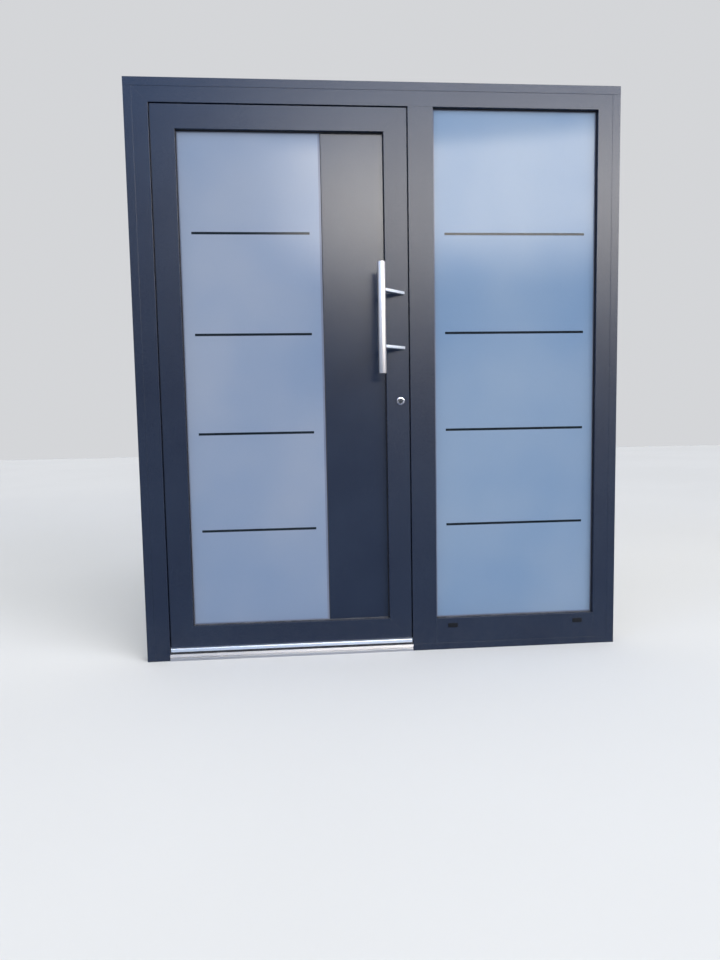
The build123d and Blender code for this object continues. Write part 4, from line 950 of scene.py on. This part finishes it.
@dataclass
class Glazing(SubAssembly):
    """A triple glass unit: sandblasted outer pane with clear strips, and clear panes behind it."""

    name: str = "leaf"
    covered_right: bool = True
    frosting: Finish = FROSTED_SIDELIGHT
    edge_cover: float = 15 * MM
    clear_rim: float = 7 * MM
    strips: int = 4
    strip_height: float = 9 * MM
    strip_pitch: float = 362 * MM
    strip_end: float = 43 * MM
    strip_corner: float = 1.5 * MM
    corner_steps: int = 4
    strip_middle: float = 1028.25 * MM

    def build(self) -> None:
        """Model the outer pane's field, rim and strips, and dress what lies behind."""
        CLEAR_GLASS.dress(f"{self.name}_pane_middle", f"{self.name}_pane_inner")
        SPACER.dress(f"{self.name}_spacers")
        pane = f"{self.name}_pane_frosted"
        low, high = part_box(pane)
        cover = Vector((self.edge_cover, 0, self.edge_cover))
        left, right = low + cover, high - cover
        if not self.covered_right:
            right.x = high.x
        rim = Vector((self.clear_rim, 0, self.clear_rim))
        first, last = left + rim, right - rim
        over = Vector((0, self.clear_rim, 0))
        glass = Bench.block(f"{self.name}_glass_frosted", first, last)
        slots = [self.strip(f"slot_{i}", left - over, right + over, i) for i in range(self.strips)]
        self.add(Bench.cut(glass, *slots), self.frosting, "frosted_glass", pane)
        edge = Bench.block(f"{self.name}_glass_rim", low, high)
        Bench.cut(edge, Bench.block("opening", first - over, last + over))
        self.add(edge, RIM_GLASS, "frosted_glass")
        for i in range(self.strips):
            strip = self.strip(f"{self.name}_clear_strip_{i + 1}", left, right, i)
            # The clear strips are painted near-black: painted shade for the room seen through them.
            self.add(strip, DARK_ROOM_STRIP, "clear_glass")

    def strip(self, name: str, left: Vector, right: Vector, index: int) -> Piece:
        """One clear strip, or the cutter for its slot.

        Args:
            name: the piece's name.
            left: lowest corner of the sight, at the strip's outer face.
            right: highest corner of the sight, at its inner face.
            index: number from the bottom.

        Returns:
            The strip with rounded corners.
        """
        z = self.strip_middle + (index - (self.strips - 1) / 2) * self.strip_pitch
        half = self.strip_height / 2
        strip = Bench.block(
            name,
            (left.x + self.strip_end, left.y, z - half),
            (right.x - self.strip_end, right.y, z + half),
        )
        Bench.round_corners(strip, self.strip_corner, self.corner_steps)
        return strip


@dataclass
class PullHandle(SubAssembly):
    """Round pull bar on two arms that stand at 45 degrees."""

    body: str = "leaf"
    chamfer: float = 1.0 * MM
    bar_sides: int = 128
    arm_height: float = 12 * MM
    arm_depth: float = 20 * MM
    arm_round: float = 2.0 * MM
    arm_levels: Span = (1154 * MM, 1354 * MM)
    foot_x: float = 72 * MM

    def build(self) -> None:
        """Model the bar and both arms."""
        low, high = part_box("pull_bar")
        radius = (high.x - low.x) / 2
        centre = (low + high) / 2
        length = high.z - low.z
        rim = self.chamfer
        ease = Bench.MID_ROUND * rim
        foot = (centre.x, centre.y, low.z)
        outline = (
            (radius - rim, 0.0),
            (radius - ease, ease),
            (radius, rim),
            (radius, length - rim),
            (radius - ease, length - ease),
            (radius - rim, length),
        )
        bar = Bench.smooth(Bench.turned("pull_bar_tube", foot, (0, 0, 1), outline, self.bar_sides))
        self.add(bar, STEEL_LENGTHWISE, "stainless_steel", "pull_bar")
        arms = [self.arm(centre, level) for level in self.arm_levels]
        self.add(Bench.join("pull_bar_arm_pair", arms), STEEL_ARMS, "stainless_steel", "pull_bar_arms")
        ZINC.dress("pull_bar_screws")

    def arm(self, bar: Vector, level: float) -> Piece:
        """One arm from the bar to the stile, its foot cut flush with the stile's face.

        Args:
            bar: middle of the bar.
            level: height of the arm's middle.

        Returns:
            The arm.
        """
        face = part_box("leaf_stile_lock")[0].y
        foot = Vector((self.foot_x, face, level))
        start = Vector((bar.x, bar.y, level))
        run = foot - start
        over = run.normalized() * self.arm_depth
        Bench.clear()
        bpy.ops.mesh.primitive_cube_add(
            size=1.0,
            location=(start + foot + over) / 2,
            rotation=(0, 0, math.atan2(run.y, run.x)),
            scale=((run + over).length, self.arm_depth, self.arm_height),
        )
        arm = Bench.settle("pull_bar_arm")
        Bench.soften(arm, self.arm_round)
        Bench.open(arm)
        bpy.ops.mesh.bisect(plane_co=(0, face, 0), plane_no=(0, 1, 0), use_fill=True, clear_outer=True)
        return Bench.smooth(Bench.close(arm))


@dataclass
class Screw:
    """Countersunk screw head with a cross recess, modelled once and copied."""

    radius: float = 3.8 * MM
    proud: float = 0.35 * MM
    dome: tuple[Span, ...] = ((1.0, -1.0), (1.0, 0.0), (0.93, 0.7), (0.6, 1.0))
    sides: int = 32
    recess: float = 2.3 * MM
    recess_floor: float = 0.042 * MM
    blade: float = 0.9 * MM
    spin: float = 0.7
    plate_inset: float = 20 * MM
    per_plate: int = 6
    pattern: Piece | None = None
    count: int = 0

    def head(self) -> Piece:
        """The head at the origin, looking along +Y.

        Returns:
            The one head that all the others are copied from.
        """
        if self.pattern is None:
            crown = [(self.radius * out, self.proud * up) for out, up in self.dome]
            head = Bench.turned("screw_head", (0, 0, 0), (0, 1, 0), crown, self.sides)
            long, thin = self.recess, self.blade / 2
            for x, z in ((long, thin), (thin, long)):
                Bench.cut(head, Bench.block("blade", (-x, self.recess_floor, -z), (x, MM, z)))
            self.pattern = Bench.smooth(head)
        return self.pattern

    def place(self, owner: str, points: Sequence[Point], way: Facing) -> Piece:
        """Set heads on a plate.

        Args:
            owner: name of what they hold, for the piece's name.
            points: middle of each head, on the face of the plate.
            way: the way they look.

        Returns:
            The heads as one piece.
        """
        turn = Vector((0, 1, 0)).rotation_difference(Vector(way.value)).to_matrix().to_4x4()
        heads = []
        for point in points:
            self.count += 1
            spin = Matrix.Rotation(self.spin * self.count, 4, "Y")
            heads.append(Bench.copy(self.head(), f"head_{self.count}", point, turn @ spin))
        return Bench.join(f"{owner}_screws", heads)

    def down_plate(self, owner: str, node: str, way: Facing) -> Piece:
        """Set a row of heads down a long plate that faces the gap round the leaf.

        Args:
            owner: name of what they hold, for the piece's name.
            node: the plate's CAD node.
            way: the way they look.

        Returns:
            The heads as one piece.
        """
        low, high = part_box(node)
        x = high.x if way is Facing.LOCK_SIDE else low.x
        y = (low.y + high.y) / 2
        step = (high.z - low.z - 2 * self.plate_inset) / (self.per_plate - 1)
        points = [(x, y, low.z + self.plate_inset + step * i) for i in range(self.per_plate)]
        return self.place(owner, points, way)

    def put_away(self) -> None:
        """Remove the pattern head once all are placed."""
        bpy.data.objects.remove(self.pattern)
        self.pattern = None


@dataclass
class LockSet(SubAssembly):
    """Rosette outside, plate and lever inside, cylinder, cases, bolts and faceplate."""

    body: str = "leaf"
    screw: Screw = field(default_factory=Screw)
    rosette_round: float = 1.6 * MM
    bore: float = 8.8 * MM
    bore_sides: int = 64
    plate_corner: float = 8 * MM
    corner_steps: int = 12
    plate_round: float = 1.4 * MM
    plate_inset: float = 10 * MM
    lever_radius: float = 9.5 * MM
    lever_height: float = 1050 * MM
    lever_sides: int = 64
    lever_bend: float = 14 * MM
    bend_steps: int = 16
    lever_end: float = 2.0 * MM
    end_steps: int = 4
    collar_radius: float = 13 * MM
    collar_depth: float = 3.5 * MM
    collar_bevel: float = 0.3
    collar_gap: float = 0.2 * MM

    def build(self) -> None:
        """Dress the lock and model what shows of it."""
        ZINC.dress("lock_cases", "latch_bolt", "deadbolt", "hook_bolt_lower", "hook_bolt_upper")
        ZINC.dress("drive_rods", "lever_spindle")
        STEEL_LENGTHWISE.dress("lock_faceplate")
        NICKEL.dress("cylinder_body", "cylinder_plug")
        self.rosette()
        self.inside_plate()
        self.lever()
        heads = self.screw.down_plate("faceplate", "lock_faceplate", Facing.LOCK_SIDE)
        self.add(heads, ZINC, "lock_steel")

    def rosette(self) -> None:
        """Turned ring round the cylinder."""
        low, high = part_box("rosette_outside")
        centre = (low + high) / 2
        radius = (high.x - low.x) / 2
        depth = high.y - low.y
        rim = self.rosette_round
        ease = Bench.MID_ROUND * rim
        outline = (
            (radius, 0.0),
            (radius, depth - rim),
            (radius - ease, depth - ease),
            (radius - rim, depth),
            (self.bore + rim / 2, depth),
            (self.bore, depth - rim / 2),
            (self.bore, 0.0),
            (radius, 0.0),
        )
        ring = Bench.turned("rosette_ring", (centre.x, high.y, centre.z), (0, -1, 0), outline)
        self.add(Bench.smooth(ring), STEEL_TURNED, "stainless_steel", "rosette_outside")

    def inside_plate(self) -> None:
        """Long plate with round corners, cut for the cylinder, and its two screws."""
        low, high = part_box("handle_plate_inside")
        x = (low.x + high.x) / 2
        plug_low, plug_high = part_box("cylinder_plug")
        plate = Bench.block("inside_plate_cover", low, high)
        Bench.round_corners(plate, self.plate_corner, self.corner_steps)
        Bench.soften(plate, self.plate_round)
        start = (x, low.y - self.bore, (plug_low.z + plug_high.z) / 2)
        drill = ((self.bore, 0.0), (self.bore, high.y - low.y + 2 * self.bore))
        Bench.cut(plate, Bench.turned("drill", start, (0, 1, 0), drill, self.bore_sides))
        self.add(Bench.smooth(plate), STEEL_LENGTHWISE, "stainless_steel", "handle_plate_inside")
        points = [(x, high.y, z) for z in (low.z + self.plate_inset, high.z - self.plate_inset)]
        heads = self.screw.place("inside_plate", points, Facing.INWARD)
        self.add(heads, STEEL_TURNED, "stainless_steel")

    def lever(self) -> None:
        """Round bar lever, bent once, drawn out from the plate to its rounded end."""
        low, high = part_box("lever_handle")
        radius, bend = self.lever_radius, self.lever_bend
        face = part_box("handle_plate_inside")[1].y
        spindle_low, spindle_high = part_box("lever_spindle")
        x = (spindle_low.x + spindle_high.x) / 2
        z = self.lever_height
        middle = high.y - radius
        corner = Vector((x - bend, middle - bend, z))
        Bench.clear()
        bpy.ops.mesh.primitive_circle_add(
            vertices=self.lever_sides,
            radius=radius,
            location=(x, face, z),
            rotation=(math.pi / 2, 0, 0),
        )
        lever = Bench.settle("lever_bar")
        Bench.open(lever)
        Bench.draw_out((0, middle - bend - face, 0))
        bpy.ops.mesh.spin(steps=self.bend_steps, angle=math.pi / 2, center=corner, axis=(0, 0, -1))
        tip = low.x + self.lever_end
        Bench.draw_out((tip - corner.x, 0, 0))
        reach, size = 0.0, radius
        for step in range(1, self.end_steps + 1):
            turn = math.pi / 2 * step / self.end_steps
            out = self.lever_end * math.sin(turn)
            inner = radius - self.lever_end * (1 - math.cos(turn))
            Bench.draw_out((reach - out, 0, 0), inner / size, (tip - out, middle, z))
            reach, size = out, inner
        lever = Bench.smooth(Bench.close(lever))
        self.add(lever, STEEL_TURNED, "stainless_steel", "lever_handle", body="lever")
        self.collar((x, face, z))

    def collar(self, centre: Point) -> None:
        """Turned collar round the lever, on the plate.

        Args:
            centre: where the lever's axis meets the plate.
        """
        rim = self.collar_depth * self.collar_bevel
        inner = self.lever_radius + self.collar_gap
        outline = (
            (self.collar_radius, 0.0),
            (self.collar_radius, self.collar_depth - rim),
            (self.collar_radius - rim, self.collar_depth),
            (inner, self.collar_depth),
            (inner, 0.0),
            (self.collar_radius, 0.0),
        )
        collar = Bench.turned("lever_collar", centre, (0, 1, 0), outline)
        self.add(Bench.smooth(collar), STEEL_TURNED, "stainless_steel")


@dataclass
class StrikeSet(SubAssembly):
    """Strike plate with its screws, and the electric strike behind it."""

    screw: Screw = field(default_factory=Screw)

    def build(self) -> None:
        """Dress the strike and set its screws."""
        STEEL_LENGTHWISE.dress("strike_plate")
        ZINC.dress("strike_body", "strike_jaw")
        heads = self.screw.down_plate("strike_plate", "strike_plate", Facing.HINGE_SIDE)
        self.add(heads, ZINC, "lock_steel")


@dataclass
class Hinges(SubAssembly):
    """Three surface hinges on the inner face, with their screws."""

    screw: Screw = field(default_factory=Screw)
    count: int = 3
    length: float = 131 * MM
    plate_face: float = 42.5 * MM
    plate_middle: float = 21 * MM
    plate_inset: float = 18 * MM

    def build(self) -> None:
        """Dress the hinges and set two screws in each of their plates."""
        ANTHRACITE.dress("hinge_frame_parts", "hinge_leaf_parts")
        STEEL_TURNED.dress("hinge_pins")
        inset, half = self.plate_inset, self.length / 2
        self.plate_screws("frame", -self.plate_middle, (inset, self.length - inset))
        self.plate_screws("leaf", self.plate_middle, (half - inset, half + inset))

    def plate_screws(self, body: str, aside: float, levels: Span) -> None:
        """Screws in the plates of one half of each hinge.

        Args:
            body: the body that those halves ride on.
            aside: how far the plates' middle is from the pins.
            levels: heights of the screws above a hinge's foot.
        """
        low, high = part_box("hinge_frame_parts")
        pins_low, pins_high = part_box("hinge_pins")
        x = (pins_low.x + pins_high.x) / 2 + aside
        pitch = (high.z - low.z - self.length) / (self.count - 1)
        feet = [low.z + pitch * hinge for hinge in range(self.count)]
        points = [(x, self.plate_face, foot + level) for foot in feet for level in levels]
        heads = self.screw.place(f"hinge_{body}", points, Facing.INWARD)
        self.add(heads, ZINC, "anthracite_profile", body=body)


@dataclass
class Studio:
    """Plain pale floor, soft light and the camera at the photograph's angle.

    A span of the light field holds the heights on a unit sphere, or the distances aside or ahead on it,
    between which a light comes in or goes out.
    """

    floor_size: float = 30.0
    walls: Colour = (0.46, 0.50, 0.58)
    plain: Colour = (0.66, 0.67, 0.69)
    fill: Colour = (0.93, 0.97, 1.0)
    fill_power: float = 0.80
    front: Span = (-0.5, -0.2)
    sides: Span = (0.40, 0.75)
    sides_power: float = 2.4
    upper: Colour = (0.9, 1.9, 4.2)
    upper_foot: Span = (0.345, 0.375)
    upper_top: Span = (0.47, 0.52)
    band: Colour = (1.0, 0.945, 0.87)
    band_power: float = 24.0
    band_foot: Span = (0.15, 0.25)
    band_top: Span = (0.325, 0.36)
    band_left: Span = (-0.10, 0.05)
    shade: Colour = (0.07, 0.10, 0.18)
    shade_way: Triple = (-0.0349, -0.998, 0.0523)
    shade_edge: Span = (0.94, 0.985)
    lamp_size: Span = (2.6, 1.8)
    lamp_power: float = 60.0
    lamp_colour: Colour = (0.92, 0.96, 1.0)
    lamp_place: Triple = (0.5, -2.4, 4.3)
    lamp_aim: Triple = (0.0, 0.0, 1.1)
    camera_place: Triple = (-0.309, -2.7205, 0.9055)
    camera_right: Triple = (0.99643546, -0.0825845, -0.01720977)
    camera_up: Triple = (0.02441241, 0.08701453, 0.99590788)
    camera_forward: Triple = (0.08074906, 0.99277806, -0.08872045)
    lens: float = 27.0
    sensor: float = 36.0

    def build(self) -> None:
        """Make floor, light and camera."""
        self.floor()
        self.sky()
        self.lamp()
        self.camera()
        bpy.context.scene.view_settings.view_transform = "Standard"

    def floor(self) -> None:
        """A large plain floor at the ground line, painted darker and bluer where it shows in
        reflections.
        """
        Bench.clear()
        bpy.ops.mesh.primitive_plane_add(size=self.floor_size)
        floor = bpy.context.object
        floor.name = "studio_floor"
        PALE_FLOOR.put_on(floor)

    def sky(self) -> None:
        """Even pale surroundings for the eye and for soft light.

        Reflections show more in them: a bright band at the front right, a blue one above it, brighter
        sides, and a darker patch straight in front of the door.
        """
        world = bpy.data.worlds.new("soft_studio")
        world.use_nodes = True
        world.node_tree.nodes.clear()
        tree = Tree(world.node_tree)
        way = tree.add("ShaderNodeTexCoord").outputs["Generated"]
        across, ahead, height = tree.add("ShaderNodeSeparateXYZ", {0: way}).outputs
        front = tree.ramp(ahead, *self.front, 1.0, 0.0)
        upper_foot = tree.ramp(height, *self.upper_foot, 0.0, 1.0)
        above = tree.math("MULTIPLY", upper_foot, tree.ramp(height, *self.upper_top, 1.0, 0.0))
        walls = tree.blend(tree.math("MULTIPLY", above, front), self.walls, self.upper)
        spot = tree.add("ShaderNodeVectorMath", {0: way, 1: self.shade_way}, operation="DOT_PRODUCT")
        shade = tree.ramp(spot.outputs["Value"], *self.shade_edge, 0.0, 1.0)
        shaded = tree.blend(shade, walls, self.shade)
        beside = tree.ramp(tree.math("ABSOLUTE", across), *self.sides, 1.0, self.sides_power)
        band_foot = tree.ramp(height, *self.band_foot, 0.0, 1.0)
        level = tree.math("MULTIPLY", band_foot, tree.ramp(height, *self.band_top, 1.0, 0.0))
        reach = tree.math("MULTIPLY", tree.ramp(across, *self.band_left, 0.0, 1.0), front)
        band = tree.math("MULTIPLY", level, reach)
        colour = tree.blend(band, shaded, self.band)
        power = tree.math("ADD", beside, tree.math("MULTIPLY", band, self.band_power))
        light = tree.add("ShaderNodeBackground", {"Color": colour, "Strength": power}).outputs[0]
        even = {"Color": self.fill, "Strength": self.fill_power}
        fill = tree.add("ShaderNodeBackground", even).outputs[0]
        plain = tree.add("ShaderNodeBackground", {"Color": self.plain, "Strength": 1.0}).outputs[0]
        path = tree.add("ShaderNodeLightPath").outputs
        lit = tree.add("ShaderNodeMixShader", {0: path["Is Diffuse Ray"], 1: light, 2: fill}).outputs[0]
        seen = tree.add("ShaderNodeMixShader", {0: path["Is Camera Ray"], 1: lit, 2: plain}).outputs[0]
        tree.add("ShaderNodeOutputWorld", {"Surface": seen})
        bpy.context.scene.world = world

    def lamp(self) -> None:
        """One big soft lamp overhead, in front of the door."""
        light = bpy.data.lights.new("overhead_softbox", "AREA")
        light.shape = "RECTANGLE"
        light.size, light.size_y = self.lamp_size
        light.energy = self.lamp_power
        light.color = self.lamp_colour
        lamp = bpy.data.objects.new("overhead_softbox", light)
        lamp.location = self.lamp_place
        aim = Vector(self.lamp_aim) - lamp.location
        lamp.rotation_euler = aim.to_track_quat("-Z", "Y").to_euler()
        bpy.context.scene.collection.objects.link(lamp)

    def camera(self) -> None:
        """The camera at the photograph's viewpoint, with its angle and field of view."""
        data = bpy.data.cameras.new("photo_view")
        data.sensor_fit = "VERTICAL"
        data.sensor_width = self.sensor
        data.sensor_height = self.sensor
        data.lens = self.lens
        camera = bpy.data.objects.new("photo_view", data)
        bpy.context.scene.collection.objects.link(camera)
        axes = Matrix((self.camera_right, self.camera_up, -Vector(self.camera_forward))).transposed()
        camera.matrix_world = Matrix.Translation(self.camera_place) @ axes.to_4x4()
        bpy.context.scene.camera = camera


def main() -> None:
    """Build and dress the door, piece by piece, and set up the studio."""
    logging.basicConfig(level=logging.INFO, format="%(message)s")
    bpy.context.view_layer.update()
    screw = Screw()
    parts = [
        OuterFrame(),
        LeafFrame(),
        Glazing(body="leaf", name="leaf", covered_right=False, frosting=FROSTED_LEAF),
        Glazing(body="frame", name="sidelight"),
        MitreSeams(),
        PullHandle(),
        LockSet(screw=screw),
        StrikeSet(screw=screw),
        Hinges(screw=screw),
    ]
    for part in parts:
        part.build()
        part.report()
    screw.put_away()
    Studio().build()


if __name__ == "__main__":
    main()
